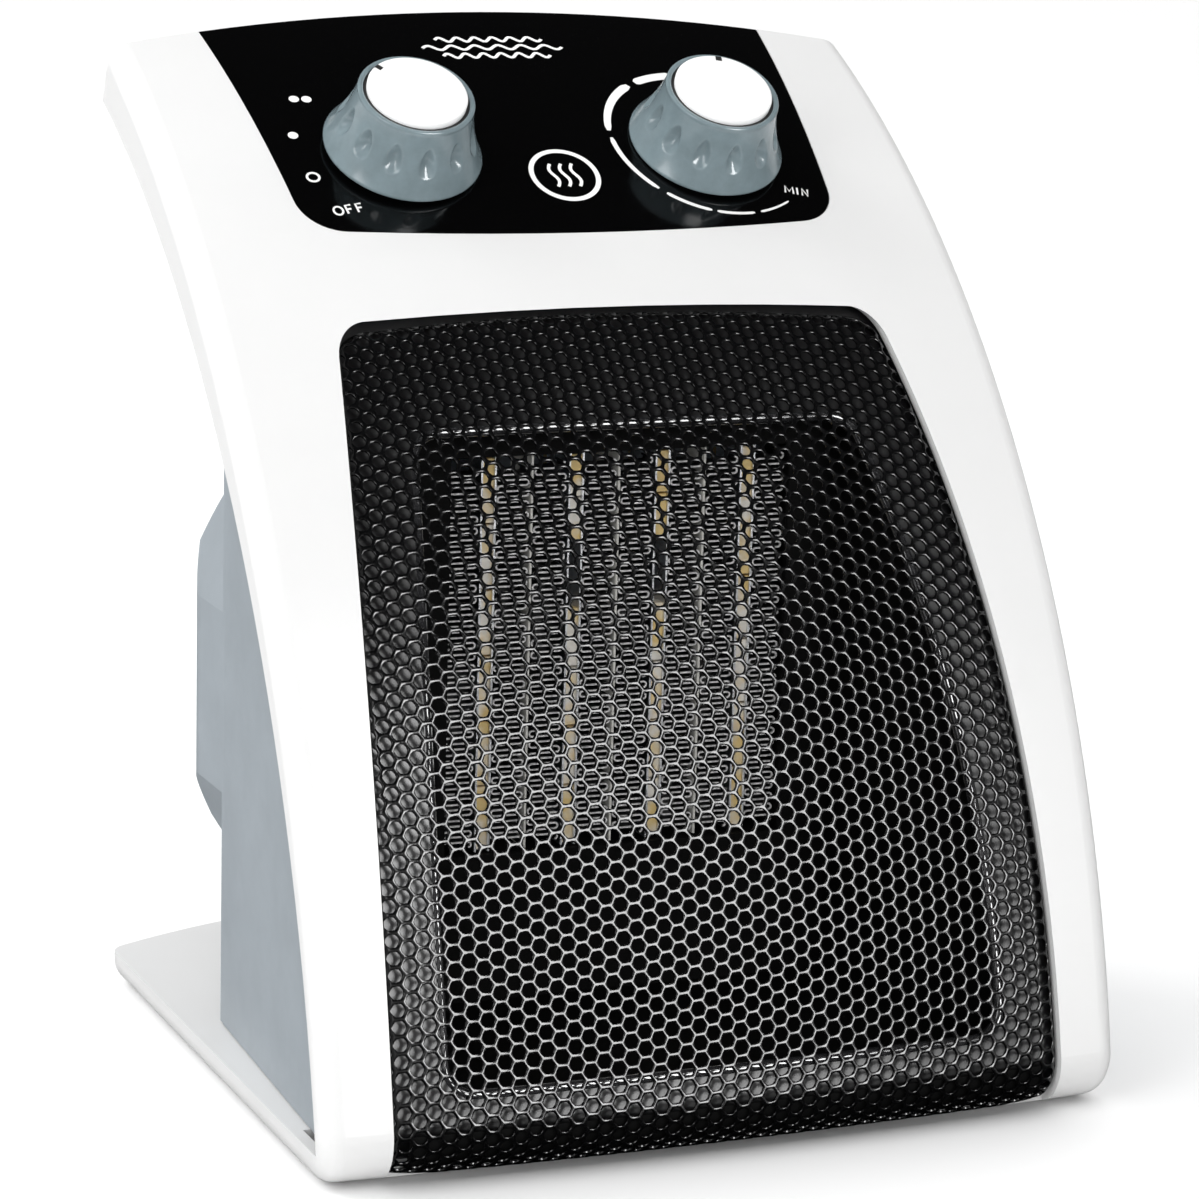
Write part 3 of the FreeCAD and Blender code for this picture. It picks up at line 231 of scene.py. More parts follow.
MATERIALS = {
    "white_plastic": moulded("white_plastic", (0.71, 0.71, 0.708), 0.32, 0.30, 0.004, 0.012, 40.0, 0.03),
    "black_steel": enamel("black_steel", (0.0018, 0.0018, 0.0020), 0.18, 0.35, 0.006,
                          Specular_IOR_Level=0.7),
    "grey_plastic": moulded("grey_plastic", (0.295, 0.328, 0.356), 0.46, 0.45, 0.020, 0.05, 18.0),
    "frame_grey": moulded("frame_black", (0.004, 0.004, 0.0045), 0.34, 0.40, 0.003, 0.12, 12.0,
                          Specular_IOR_Level=0.7, IOR=1.6),
    "panel_black": enamel("panel_black", (0.0010, 0.0010, 0.0011), 0.10, 4.0, 0.004,
                          Specular_IOR_Level=0.4),
    "knob_grey": moulded("knob_grey", (0.175, 0.228, 0.248), 0.22, 0.40, 0.006, 0.09, 4.0,
                         Coat_Weight=0.5, Coat_Roughness=0.12),
    "cap_white": moulded("cap_white", (0.90, 0.90, 0.90), 0.24, 0.5, 0.003, 0.01, 9.0,
                         Coat_Weight=0.2, Coat_Roughness=0.1),
    "base_grey": moulded("base_grey", (0.60, 0.60, 0.59), 0.55, 0.5, 0.02, 0.05, 20.0),
    "rubber": moulded("rubber", (0.03, 0.03, 0.03), 0.8, 0.6, 0.04, 0.25, 4.0),
    "steel": metal("steel", (0.60, 0.60, 0.62), 0.32, 0.4, (1, 1, 6)),
    "black_plastic": moulded("black_plastic", (0.018, 0.018, 0.018), 0.5, 0.4, 0.02, 0.2, 10.0),
    "dark_duct": moulded("dark_duct", (0.003, 0.003, 0.003), 0.7, 0.5, 0.02, 0.2, 12.0,
                         Specular_IOR_Level=0.08),
    "ceramic": ceramic("ceramic"),
    "fin_aluminium": metal("fin_aluminium", (0.80, 0.81, 0.83), 0.34, 0.7, (1, 1, 3), 0.01, 0.10),
    "mica": moulded("mica", (0.80, 0.79, 0.74), 0.6, 0.8, 0.03, 0.08, 5.0),
    "brass": metal("brass", (0.80, 0.62, 0.30), 0.3, 0.5, (1, 1, 5)),
    "copper_wire": sleeve("sleeve", (0.82, 0.80, 0.76)),
}
LIP_BLACK = moulded("frame_lip", (0.03, 0.03, 0.032), 0.18, 0.40, 0.003, 0.12, 12.0,
                    Specular_IOR_Level=1.0, Coat_Weight=1.0, Coat_Roughness=0.08)
MARK_WHITE = moulded("mark_white", (0.88, 0.88, 0.87), 0.4, 0.3, 0.002, 0.02, 3.0)

for entry in frame["record"]["subparts"]:
    node = frame["nodes"][entry["node"]]
    node.shadow_terminator_geometry_offset = 0.4
    if entry["material_slot"] in ("white_plastic", "grey_plastic"):      # broad faces shade evenly
        node.modifiers.new("even_normals", "WEIGHTED_NORMAL").keep_sharp = True
    node.data.materials.clear()
    node.data.materials.append(MATERIALS[entry["material_slot"]])


# ---------------------------------------------------------------- mesh helpers

def add_piece(name, points, faces, slot, body=HEATER, replaces=(), material=None, sharp=40.0):
    """A mesh piece from points in millimetres; edges sharper than the angle stay sharp."""
    mesh = bpy.data.meshes.new(name)
    mesh.from_pydata([Vector(point) * MM for point in points], [], faces)
    mesh.validate()
    mesh.polygons.foreach_set("use_smooth", [True] * len(mesh.polygons))
    mesh.set_sharp_from_angle(angle=math.radians(sharp))
    mesh.materials.append(material or MATERIALS[slot])
    piece = bpy.data.objects.new(name, mesh)
    bpy.context.scene.collection.objects.link(piece)
    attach(piece, body)
    if replaces:
        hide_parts(*replaces)
    return piece


def front_point(x, up, depth):
    """The point that lies depth behind the front, at x and a length up it from the top of the foot's bend."""
    reach = ARC - (CROWN - math.sqrt(CROWN ** 2 - x * x))
    turn = math.asin((BEND_Z - ARC_Z) / (reach - BEND))
    if up >= 0:
        turn += up / ARC
        reach -= depth
        return Vector((x, ARC_Y - reach * math.cos(turn), ARC_Z + reach * math.sin(turn)))
    bend_y = ARC_Y - math.sqrt((reach - BEND) ** 2 - (BEND_Z - ARC_Z) ** 2)
    angle = max(turn + up / BEND, -math.pi / 2)
    beyond = max(0.0, -up - BEND * (turn + math.pi / 2))
    radius = BEND - depth
    return Vector((x, bend_y - radius * math.cos(angle) + beyond, BEND_Z + radius * math.sin(angle)))


# ---------------------------------------------------------------- mesh grille

GRILLE_LOW, GRILLE_HIGH = 75.5, 62.7      # half the mesh's width at its foot and its top
GRILLE_TOP, GRILLE_FOOT = 172.8, -18.1    # the mesh's ends, as lengths up the front
GRILLE_BOW = 2.8                          # how far the top edge arches
CORNER = 8.0
ROLL = 2.2                                # the sheet's edges roll back by this radius
HOLE_PITCH = 3.5                          # from one hole to the next up a column
COLUMN_PITCH = HOLE_PITCH * math.sqrt(3) / 2
CELL_CORNER = HOLE_PITCH / math.sqrt(3)
HOLE, HOLE_POINT = 1.38, 0.07             # from a hole's middle to its flats, and its corners beyond that
HOLE_EDGE, HOLE_EDGE_DEPTH = 0.12, 0.10   # width and depth of its softened edge
HOLE_STEPS = 12                           # points round a hole, every other one at a corner
ROWS_BELOW = 6                            # rows of holes on the bend
SINK, SINK_REACH = 1.0, 14.0              # towards its edges the sheet also turns back slowly
SHEET_FRONT, SHEET_THICK = 0.1, 0.6


def grille_half(up):
    """Half the mesh's width at a length up the front."""
    share = max(0.0, up / GRILLE_TOP)
    return GRILLE_LOW - (GRILLE_LOW - GRILLE_HIGH) * share ** 2


def grille_top(x):
    """The arched top edge."""
    return GRILLE_TOP + GRILLE_BOW * (1 - (x / GRILLE_HIGH) ** 2)


CORNER_UP = GRILLE_TOP + 0.6 - CORNER
CORNER_X = grille_half(CORNER_UP) - CORNER


def in_outline(x, up):
    """The point moved onto the mesh's outline if it lies outside, and its distance inside the outline."""
    side = math.copysign(1.0, x)
    x = abs(x)
    up = max(up, GRILLE_FOOT)
    if up > CORNER_UP and x > CORNER_X:
        away = math.hypot(x - CORNER_X, up - CORNER_UP)
        if away > CORNER:
            x = CORNER_X + (x - CORNER_X) * CORNER / away
            up = CORNER_UP + (up - CORNER_UP) * CORNER / away
        return side * x, up, max(0.0, CORNER - away)
    x = min(x, grille_half(up))
    up = min(up, grille_top(x))
    return side * x, up, min(grille_half(up) - x, grille_top(x) - up)


def rolled(inside):
    """How far the sheet has rolled back at a distance inside its outline."""
    slow = SINK * max(0.0, 1 - inside / SINK_REACH) ** 2
    if inside >= ROLL:
        return slow
    return slow + ROLL - math.sqrt(ROLL ** 2 - (ROLL - inside) ** 2)


def grille():
    """Punched steel: every hole is real, with a softened edge and the sheet's thickness behind it."""
    points, faces, shared, edges = [], [], {}, {}

    def corner_point(x, up, depth):
        x, up, inside = in_outline(x, up)
        points.append(front_point(x, up, SHEET_FRONT + depth + rolled(inside)))
        return len(points) - 1

    def shared_point(x, up, depth):
        key = (round(x * 100), round(up * 100), depth)
        if key not in shared:
            shared[key] = corner_point(x, up, depth)
        return shared[key]

    columns = int(GRILLE_LOW / COLUMN_PITCH) + 1
    rows = int(GRILLE_TOP / HOLE_PITCH) + 2
    for column in range(-columns, columns + 1):
        for row in range(-ROWS_BELOW, rows):
            middle_x = column * COLUMN_PITCH
            middle_up = (row + 0.5 * (column % 2)) * HOLE_PITCH
            held_x, held_up, _ = in_outline(middle_x, middle_up)
            if math.hypot(held_x - middle_x, held_up - middle_up) > 0.5 * HOLE_PITCH:
                continue
            rings = [[], [], [], [], []]
            for step in range(HOLE_STEPS):
                turn = math.radians(360 * step / HOLE_STEPS)
                across, along = math.cos(turn), math.sin(turn)
                cell = CELL_CORNER if step % 2 == 0 else HOLE_PITCH / 2
                hole = HOLE + (HOLE_POINT if step % 2 == 0 else 0.0)
                spots = ((cell, 0.0), (hole + HOLE_EDGE, 0.0), (hole, HOLE_EDGE_DEPTH),
                         (hole, SHEET_THICK), (cell, SHEET_THICK))
                for ring, (radius, depth) in zip(rings, spots):
                    make = shared_point if radius == cell else corner_point
                    ring.append(make(middle_x + radius * across, middle_up + radius * along, depth))
            for outer, inner in zip(rings, rings[1:]):
                for step in range(HOLE_STEPS):
                    after = (step + 1) % HOLE_STEPS
                    faces.append((outer[step], outer[after], inner[after], inner[step]))
            for step in range(HOLE_STEPS):
                after = (step + 1) % HOLE_STEPS
                pair = (rings[0][step], rings[0][after])
                edges[pair] = (rings[4][step], rings[4][after])
    for (one, other), (back_one, back_other) in edges.items():
        if (other, one) not in edges:
            faces.append((other, one, back_one, back_other))
    return add_piece("steel_mesh", points, faces, "black_steel", replaces=("mesh_grille",), sharp=50.0)


def outline_path():
    """Points round the mesh's outline, from the foot on the right over the top to the foot on the left,
    each with its inward direction."""
    right = []
    side_steps, corner_steps, top_steps = 70, 8, 15
    for step in range(side_steps):
        up = GRILLE_FOOT + (CORNER_UP - GRILLE_FOOT) * step / side_steps
        right.append((grille_half(up), up, -1.0, 0.0))
    for step in range(corner_steps + 1):
        turn = math.radians(90 * step / corner_steps)
        right.append((CORNER_X + CORNER * math.cos(turn), CORNER_UP + CORNER * math.sin(turn),
                      -math.cos(turn), -math.sin(turn)))
    for step in range(1, top_steps + 1):
        x = CORNER_X * (1 - step / top_steps)
        right.append((x, grille_top(x), 0.0, -1.0))
    return right + [(-x, up, -across, along) for x, up, across, along in right[-2::-1]]


def swept(path, section, closed=False):
    """A tube whose section, given as (inward, depth) pairs, follows a path on the front."""
    points, faces = [], []
    for x, up, across, along in path:
        for inward, depth in section:
            points.append(front_point(x + across * inward, up + along * inward, depth))
    count, size = len(path), len(section)
    for station in range(count if closed else count - 1):
        here, there = station * size, (station + 1) % count * size
        for step in range(size):
            after = (step + 1) % size
            faces.append((here + step, here + after, there + after, there + step))
    if not closed:
        faces.append(tuple(range(size))[::-1])
        faces.append(tuple(range((count - 1) * size, count * size)))
    return points, faces


def grille_rim():
    """The solid band that the sheet's rolled edge ends in, a hair proud of the sheet."""
    proud, thick, wide = 0.05, 0.7, 0.7
    front = [(inside, SHEET_FRONT + rolled(inside) - proud) for inside in (0.0, 0.15, 0.4, wide)]
    back = [(wide, SHEET_FRONT + rolled(wide) + thick), (0.0, SHEET_FRONT + ROLL + SINK + thick)]
    points, faces = swept(outline_path(), front + back)
    return add_piece("steel_mesh_rim", points, faces, "black_steel")


def bend_shade_sheet():
    """A thin black strip close behind the mesh, round the bend at its foot: a dark sheet put there as painted
    shade, so that the holes of the bend look black.
    """
    front_depth, back_depth = 1.1, 1.5
    head = -1.5
    foot = GRILLE_FOOT + 0.2
    half = GRILLE_LOW - ROLL - 1.6
    rows, columns = 24, 16
    width = columns + 1
    points, faces = [], []
    for depth in (front_depth, back_depth):
        for row in range(rows + 1):
            up = head + (foot - head) * row / rows
            for column in range(width):
                points.append(front_point(half * (2 * column / columns - 1), up, depth))
    size = (rows + 1) * width
    for row in range(rows):
        for column in range(columns):
            here = row * width + column
            front = (here, here + width, here + width + 1, here + 1)
            faces.append(front)
            faces.append(tuple(point + size for point in front[::-1]))
    border = [(row * width, (row + 1) * width) for row in range(rows)]
    border += [(rows * width + column, rows * width + column + 1) for column in range(columns)]
    border += [((row + 1) * width + columns, row * width + columns) for row in range(rows)]
    border += [(column + 1, column) for column in range(columns)]
    faces += [(other, one, one + size, other + size) for one, other in border]
    return add_piece("mesh_bend_shade_sheet", points, faces, "dark_duct", sharp=60.0)


grille()
grille_rim()
# a black sheet behind the bend, as painted shade
bend_shade_sheet()


# ---------------------------------------------------------------- window edge behind the mesh

WINDOW_LOW, WINDOW_HIGH = 62.5, 50.0          # half the window's width at its foot and its top
WINDOW_MIDDLE = WINDOW_HIGH + 0.75 * (WINDOW_LOW - WINDOW_HIGH)
WINDOW_FOOT_Z, WINDOW_HEAD_Z = 18.5, 143.0
WINDOW_CORNER = 6.0
CORNER_STEPS, SIDE_STEPS, END_STEPS = 8, 24, 20
FRAME_DEPTH = 3.4
LIP_R, LIP_OUT, LIP_DEPTH = 1.2, -0.6, 0.9    # the bead's radius, and its middle from the frame's edge


def up_at_height(z):
    """The length up the front at a height, on the frame's face."""
    start = math.asin((BEND_Z - ARC_Z) / (ARC - BEND))
    return ARC * (math.asin((z - ARC_Z) / (ARC - FRAME_DEPTH)) - start)


def window_path():
    """Points round the window, each with its inward direction."""
    low, high = up_at_height(WINDOW_FOOT_Z), up_at_height(WINDOW_HEAD_Z)

    def half(up):
        """Half the window's width: a parabola through its foot, its middle and its top."""
        part = (up - low) / (high - low)
        return (WINDOW_LOW * (1 - part) * (1 - 2 * part) + 4 * WINDOW_MIDDLE * part * (1 - part)
                - WINDOW_HIGH * part * (1 - 2 * part))

    path = []
    corner = WINDOW_CORNER
    for centre_up, start in ((low + corner, -90), (high - corner, 0)):
        centre_x = half(centre_up) - corner
        for step in range(CORNER_STEPS + 1):
            turn = math.radians(start + 90 * step / CORNER_STEPS)
            path.append((centre_x + corner * math.cos(turn), centre_up + corner * math.sin(turn),
                         -math.cos(turn), -math.sin(turn)))
        if start == -90:
            for step in range(1, SIDE_STEPS):
                up = low + corner + (high - low - 2 * corner) * step / SIDE_STEPS
                path.append((half(up), up, -1.0, 0.0))
    left = [(-x, up, -across, along) for x, up, across, along in path[::-1]]
    ends = range(1, END_STEPS)
    top = [(path[-1][0] * (1 - 2 * step / END_STEPS), high, 0.0, -1.0) for step in ends]
    foot = [(path[0][0] * (2 * step / END_STEPS - 1), low, 0.0, 1.0) for step in ends]
    return path + top + left + foot


def window_lip():
    """A rounded bead round the frame's window."""
    section = [(LIP_OUT + LIP_R * math.cos(turn), FRAME_DEPTH + LIP_DEPTH + LIP_R * math.sin(turn))
               for turn in [math.radians(22.5 * step) for step in range(16)]]
    points, faces = swept(window_path(), section, closed=True)
    return add_piece("window_lip", points, faces, "frame_grey", material=LIP_BLACK, sharp=80.0)


window_lip()


# ---------------------------------------------------------------- heating element's fins

FIN_PERIOD = 2.5               # from one fold to the next on the same side
FIN_THICK = 0.36
FIN_DEPTH = 5.0                # the foil's width, from front to back
BAR_INSET = 1.3                # from the outer edge of the stones to the middle of their row
BAR_HALF = 1.9                 # half a row of stones with its electrodes
SEPARATOR_HALF = 0.35          # half the wall between two rows


def heat_fins():
    """Folded foil: in each bay a strip runs to and fro, its legs all but level, its folds rounded."""
    low, high = (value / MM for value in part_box("heat_fins"))
    bars = [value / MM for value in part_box("ptc_stones")]
    reach = bars[1].x - BAR_INSET
    bays = []
    for bar in (-reach, -reach / 3, reach / 3, reach):
        left = max(bar - reach / 3 + SEPARATOR_HALF, low.x)
        right = min(bar + reach / 3 - SEPARATOR_HALF, high.x)
        bays += [(left, bar - BAR_HALF), (bar + BAR_HALF, right)]
    chance = random.Random(7)
    points, faces = [], []
    for left, right in bays:
        line, side = [], 1
        height = low.z + FIN_PERIOD * chance.uniform(0.1, 0.5)
        while height < high.z - FIN_PERIOD:
            rise = FIN_PERIOD / 2 * chance.uniform(0.93, 1.07)
            bow = rise / 2
            centre = (right - bow - FIN_THICK) if side > 0 else (left + bow + FIN_THICK)
            for step in range(7):
                turn = math.radians(-90 + 30 * step)
                line.append((centre + side * bow * math.cos(turn), height + bow + bow * math.sin(turn)))
            height += rise
            side = -side
        base = len(points)
        depth = (low.y, low.y + FIN_DEPTH)
        for number, (x, z) in enumerate(line):
            before, after = line[max(number - 1, 0)], line[min(number + 1, len(line) - 1)]
            way = Vector((after[0] - before[0], after[1] - before[1])).normalized()
            for y in depth:
                for hand in (-1, 1):
                    points.append((x - way.y * hand * FIN_THICK / 2, y, z + way.x * hand * FIN_THICK / 2))
        for number in range(len(line) - 1):
            here, there = base + 4 * number, base + 4 * number + 4
            for one, other in ((0, 1), (1, 3), (3, 2), (2, 0)):
                faces.append((here + other, here + one, there + one, there + other))
        faces.append((base, base + 1, base + 3, base + 2))
        last = base + 4 * (len(line) - 1)
        faces.append((last + 2, last + 3, last + 1, last))
    return add_piece("folded_fins", points, faces, "fin_aluminium", replaces=("heat_fins",),
                     material=foil("fin_foil", low.y * MM), sharp=50.0)


heat_fins()


# ---------------------------------------------------------------- marks on the panel

MARK_TOP, MARK_FOOT = 0.045, 0.13         # depths of a mark's face and back
MARK_DOT_R, MARK_DOT_SIDES = 1.15, 24


def stroke(points, faces, path, width, closed=False):
    """A printed line along a path of (x, up) points, with real thickness; its width is one number or a
    number for each point."""
    count = len(path)
    base = len(points)
    for number, (x, up) in enumerate(path):
        before = path[number - 1] if closed or number else path[0]
        after = path[(number + 1) % count] if closed or number < count - 1 else path[-1]
        way = Vector((after[0] - before[0], after[1] - before[1])).normalized()
        for side, depth in ((1, MARK_TOP), (-1, MARK_TOP), (-1, MARK_FOOT), (1, MARK_FOOT)):
            reach = side * width[number] / 2 if hasattr(width, "__len__") else side * width / 2
            points.append(front_point(x - way.y * reach, up + way.x * reach, depth))
    for number in range(count if closed else count - 1):
        here, there = base + 4 * number, base + 4 * ((number + 1) % count)
        for step in range(4):
            after = (step + 1) % 4
            faces.append((here + step, there + step, there + after, here + after))
    if not closed:
        faces.append(tuple(base + step for step in range(4)))
        faces.append(tuple(base + 4 * (count - 1) + step for step in range(4))[::-1])


def dot(points, faces, x, up):
    """A round printed dot, with real thickness."""
    base, sides = len(points), MARK_DOT_SIDES
    for depth in (MARK_TOP, MARK_FOOT):
        for step in range(sides):
            turn = 2 * math.pi * step / sides
            across, along = MARK_DOT_R * math.cos(turn), MARK_DOT_R * math.sin(turn)
            points.append(front_point(x + across, up + along, depth))
    faces.append(tuple(range(base, base + sides)))
    faces.append(tuple(range(base + sides, base + 2 * sides))[::-1])
    for step in range(sides):
        after = (step + 1) % sides
        faces.append((base + step, base + sides + step, base + sides + after, base + after))


def arc_path(x, up, radius, start, end, count):
    """Points along an arc round (x, up), from one angle to another in degrees."""
    turns = [math.radians(start + (end - start) * step / count) for step in range(count + 1)]
    return [(x + radius * math.cos(turn), up + radius * math.sin(turn)) for turn in turns]


# Each letter as lines in a box 1 wide and 1 tall, and its width as a share of its height.
LETTERS = {
    "O": [[(0.5 + 0.5 * math.cos(math.radians(turn)), 0.5 + 0.5 * math.sin(math.radians(turn)))
           for turn in range(0, 360, 20)]],
    "F": [[(0.1, 0), (0.1, 1), (0.85, 1)], [(0.1, 0.52), (0.75, 0.52)]],
    "M": [[(0, 0), (0.05, 1), (0.5, 0.25), (0.95, 1), (1, 0)]],
    "I": [[(0.5, 0), (0.5, 1)]],
    "N": [[(0.1, 0), (0.1, 1), (0.9, 0), (0.9, 1)]],
}
WIDTHS = {"O": 1.0, "F": 0.8, "M": 1.05, "I": 0.35, "N": 0.9}
LETTER_SQUEEZE, LETTER_SPACE, LETTER_LINE = 0.85, 0.30, 0.19


def word(points, faces, text, middle, tall, lean):
    """A short setting label, centred on a point and turned by lean degrees."""
    space = LETTER_SPACE * tall
    wide = [WIDTHS[letter] * tall * LETTER_SQUEEZE for letter in text]
    start = -(sum(wide) + space * (len(text) - 1)) / 2
    across, along = math.cos(math.radians(lean)), math.sin(math.radians(lean))
    for letter, width in zip(text, wide):
        for line in LETTERS[letter]:
            path = []
            for right, rise in line:
                x, up = start + right * width, (rise - 0.5) * tall
                path.append((middle[0] + x * across - up * along, middle[1] + x * along + up * across))
            stroke(points, faces, path, LETTER_LINE * tall, closed=letter == "O")
        start += width + space


def wave_across(middle, up, half):
    """A level wavy line of six waves."""
    return [(middle + half * (step / 30 - 1), up + 0.9 * math.sin(step * math.pi / 5)) for step in range(61)]


def wave_rising(x, up):
    """A short wave that stands upright, for rising heat."""
    return [(x + 0.7 * math.sin(step * math.pi / 5), up + 0.72 * step) for step in range(11)]


def panel_marks():
    """The white marks: the mode dots and ring, OFF and MIN, the thermostat's dashes, a heat sign in a
    ring and three wavy lines at the top."""
    points, faces = [], []
    for x, up in ((-54.7, 242.9), (-51.9, 242.6), (-58.3, 230.2)):
        dot(points, faces, x, up)
    stroke(points, faces, arc_path(-57.4, 216.3, 1.35, 0, 345, 23), 0.55, closed=True)
    word(points, faces, "OFF", (-52.1, 205.95), 2.45, 7.0)
    word(points, faces, "MIN", (55.4, 208.8), 2.2, -13.0)
    dial, dial_r, dash_steps, dash_taper = (39.2, 225.6), 23.9, 14, 0.55
    for start, end, wide, wide_end in ((93, 118, 2.6, 2.3), (124, 172, 2.3, 1.5), (178, 222, 1.2, 1.0),
                                       (227, 253, 0.95, 0.85), (256, 278, 0.8, 0.7), (282, 303, 0.65, 0.45)):
        path = arc_path(*dial, dial_r, start, end, dash_steps)
        widths = [wide + (wide_end - wide) * step / dash_steps for step in range(dash_steps + 1)]
        widths[0] *= dash_taper
        widths[-1] *= dash_taper
        stroke(points, faces, path, widths)
    sign_x, sign_up = 0.2, 214.3
    stroke(points, faces, arc_path(sign_x, sign_up, 7.7, 0, 355, 71), 1.15, closed=True)
    for shift in (-2.6, 0.0, 2.6):
        stroke(points, faces, wave_rising(sign_x + shift, 210.6), 0.75)
    for row, half in enumerate((13.0, 17.0, 13.0)):
        stroke(points, faces, wave_across(-2.2, 257.6 + 3.4 * row, half), 0.8)
    return add_piece("panel_marks", points, faces, "cap_white", material=MARK_WHITE, sharp=30.0)


panel_marks()


# ---------------------------------------------------------------- knobs

def knob_matrix(joint_name):
    """A knob's own frame, from its joint: Z is the turning axis, outwards."""
    joint = next(j for j in frame["joints"] if j["name"] == joint_name)
    axis = Vector(joint["axis"]).normalized()
    across = Vector((1, 0, 0))
    up = axis.cross(across).normalized()
    turn = Matrix((across, up, axis)).transposed().to_4x4()
    return Matrix.Translation(Vector(joint["pos_m"]) / MM) @ turn


SKIRT = ((17.8, 1.2), (15.0, 7.0), (13.0, 15.0))       # radius and height at the foot, waist and rim
SKIRT_STEPS = 56
FOOT_EDGE = [(15.9, 0.5), (16.9, 0.4), (17.5, 0.45), (17.8, 0.75)]
RIM_EDGE = [(13.05, 15.25), (13.02, 15.6), (12.85, 15.82), (12.55, 15.9), (12.1, 15.86), (11.88, 15.7),
            (11.78, 15.3), (11.75, 15.05), (3.0, 15.05)]
HOLLOW = [(10.6, 13.3), (15.6, 0.5)]                    # the knob's inside, at its roof and its foot


def skirt_radius(height):
    """The knob's flared side, as an arc through its foot, its waist and its rim."""
    (r1, z1), (r2, z2), (r3, z3) = SKIRT
    d = 2 * (r1 * (z2 - z3) + r2 * (z3 - z1) + r3 * (z1 - z2))
    a, b, c = r1 * r1 + z1 * z1, r2 * r2 + z2 * z2, r3 * r3 + z3 * z3
    centre_r = (a * (z2 - z3) + b * (z3 - z1) + c * (z1 - z2)) / d
    centre_z = (a * (r3 - r2) + b * (r1 - r3) + c * (r2 - r1)) / d
    radius = math.hypot(r1 - centre_r, z1 - centre_z)
    return centre_r - math.sqrt(radius ** 2 - (height - centre_z) ** 2)


DIMPLES = 12
DIMPLE_Z, DIMPLE_TALL, DIMPLE_WIDE, DIMPLE_DEEP = 8.6, 3.5, 1.9, 1.5
DIMPLE_NARROWS, DIMPLE_SHALLOWS, DIMPLE_ROUND = 0.42, 0.35, 1.2
AROUND = DIMPLES * 20


def dimple(turn, radius, height):
    """How far a thumb groove pulls the surface in: a teardrop, narrow at its top."""
    step = 2 * math.pi / DIMPLES
    off = (turn + step / 2) % step - step / 2
    rise = (height - DIMPLE_Z) / DIMPLE_TALL
    if abs(rise) >= 1:
        return 0.0
    wide = DIMPLE_WIDE * (1 - DIMPLE_NARROWS * rise)
    spread = (radius * off / wide) ** 2 + rise ** 2
    if spread >= 1:
        return 0.0
    return DIMPLE_DEEP * (1 - spread) ** DIMPLE_ROUND * (1 - DIMPLE_SHALLOWS * rise)


def ring_points(radius, height, dimpled=False):
    """Points round the knob's axis at a radius and a height, pulled in where a dimple is."""
    points = []
    for step in range(AROUND):
        turn = 2 * math.pi * step / AROUND
        reach = radius - dimple(turn, radius, height) if dimpled else radius
        points.append((reach * math.cos(turn), reach * math.sin(turn), height))
    return points


def knob(name, joint, body, node):
    """A hollow flared knob with dimples round its side and a seat for its disc."""
    (_, foot_z), _, (_, rim_z) = SKIRT
    heights = [foot_z + (rim_z - foot_z) * step / SKIRT_STEPS for step in range(SKIRT_STEPS + 1)]
    profile = FOOT_EDGE + [(skirt_radius(height), height) for height in heights] + RIM_EDGE
    points, faces = [], []
    for radius, height in profile:
        points += ring_points(radius, height, dimpled=True)
    for radius, height in HOLLOW:
        points += ring_points(radius, height)
    rows = len(profile)
    for row in range(rows - 1):
        for step in range(AROUND):
            after = (step + 1) % AROUND
            faces.append((row * AROUND + step, row * AROUND + after, (row + 1) * AROUND + after,
                          (row + 1) * AROUND + step))
    roof, foot = rows * AROUND, (rows + 1) * AROUND
    for step in range(AROUND):
        after = (step + 1) % AROUND
        faces.append((foot + step, foot + after, after, step))
        faces.append((roof + step, roof + after, foot + after, foot + step))
    faces.append(tuple(range(roof, roof + AROUND))[::-1])
    faces.append(tuple(range((rows - 1) * AROUND, rows * AROUND)))
    matrix = knob_matrix(joint)
    points = [matrix @ Vector(point) for point in points]
    return add_piece(name, points, faces, "knob_grey", body=body, replaces=(node,), sharp=60.0)


DISC_R = 11.15
DISC_EDGE = ((0.955, 17.1), (0.985, 17.02), (1.0, 16.8), (1.0, 15.1))    # share of the radius, height
NOTCH_HALF, NOTCH_DEEP = 0.8, 1.5
POINTER_HALF, POINTER_GAP, POINTER_HIGH = 0.7, 0.05, 16.95
GROOVE_GAP, GROOVE_R, GROOVE_HIGH = 0.03, 11.73, 15.5
SEAT_HIGH = 15.06
RIM_STEPS, GROOVE_STEPS = 90, 72


def knob_disc(name, matrix, body, node, pointer):
    """The white disc on a knob, with a small square notch that points at the setting."""
    half_turn = math.degrees(math.asin(NOTCH_HALF / DISC_R))
    rim = []
    for step in range(RIM_STEPS + 1):
        turn = math.radians(pointer + half_turn + (360 - 2 * half_turn) * step / RIM_STEPS)
        rim.append((DISC_R * math.cos(turn), DISC_R * math.sin(turn)))
    turn, deep = math.radians(pointer), DISC_R - NOTCH_DEEP
    for side in (-1, 1):
        rim.append((deep * math.cos(turn) - side * NOTCH_HALF * math.sin(turn),
                    deep * math.sin(turn) + side * NOTCH_HALF * math.cos(turn)))
    count = len(rim)
    points, faces = [], []
    for share, height in DISC_EDGE:
        for x, y in rim:
            points.append(matrix @ Vector((x * share, y * share, height)))
    last = len(DISC_EDGE) - 1
    for row in range(last):
        for step in range(count):
            after = (step + 1) % count
            faces.append(((row + 1) * count + step, (row + 1) * count + after, row * count + after,
                          row * count + step))
    faces.append(tuple(range(count)))
    faces.append(tuple(range(last * count, (last + 1) * count))[::-1])
    add_piece(name, points, faces, "cap_white", body=body, replaces=(node,), sharp=50.0)


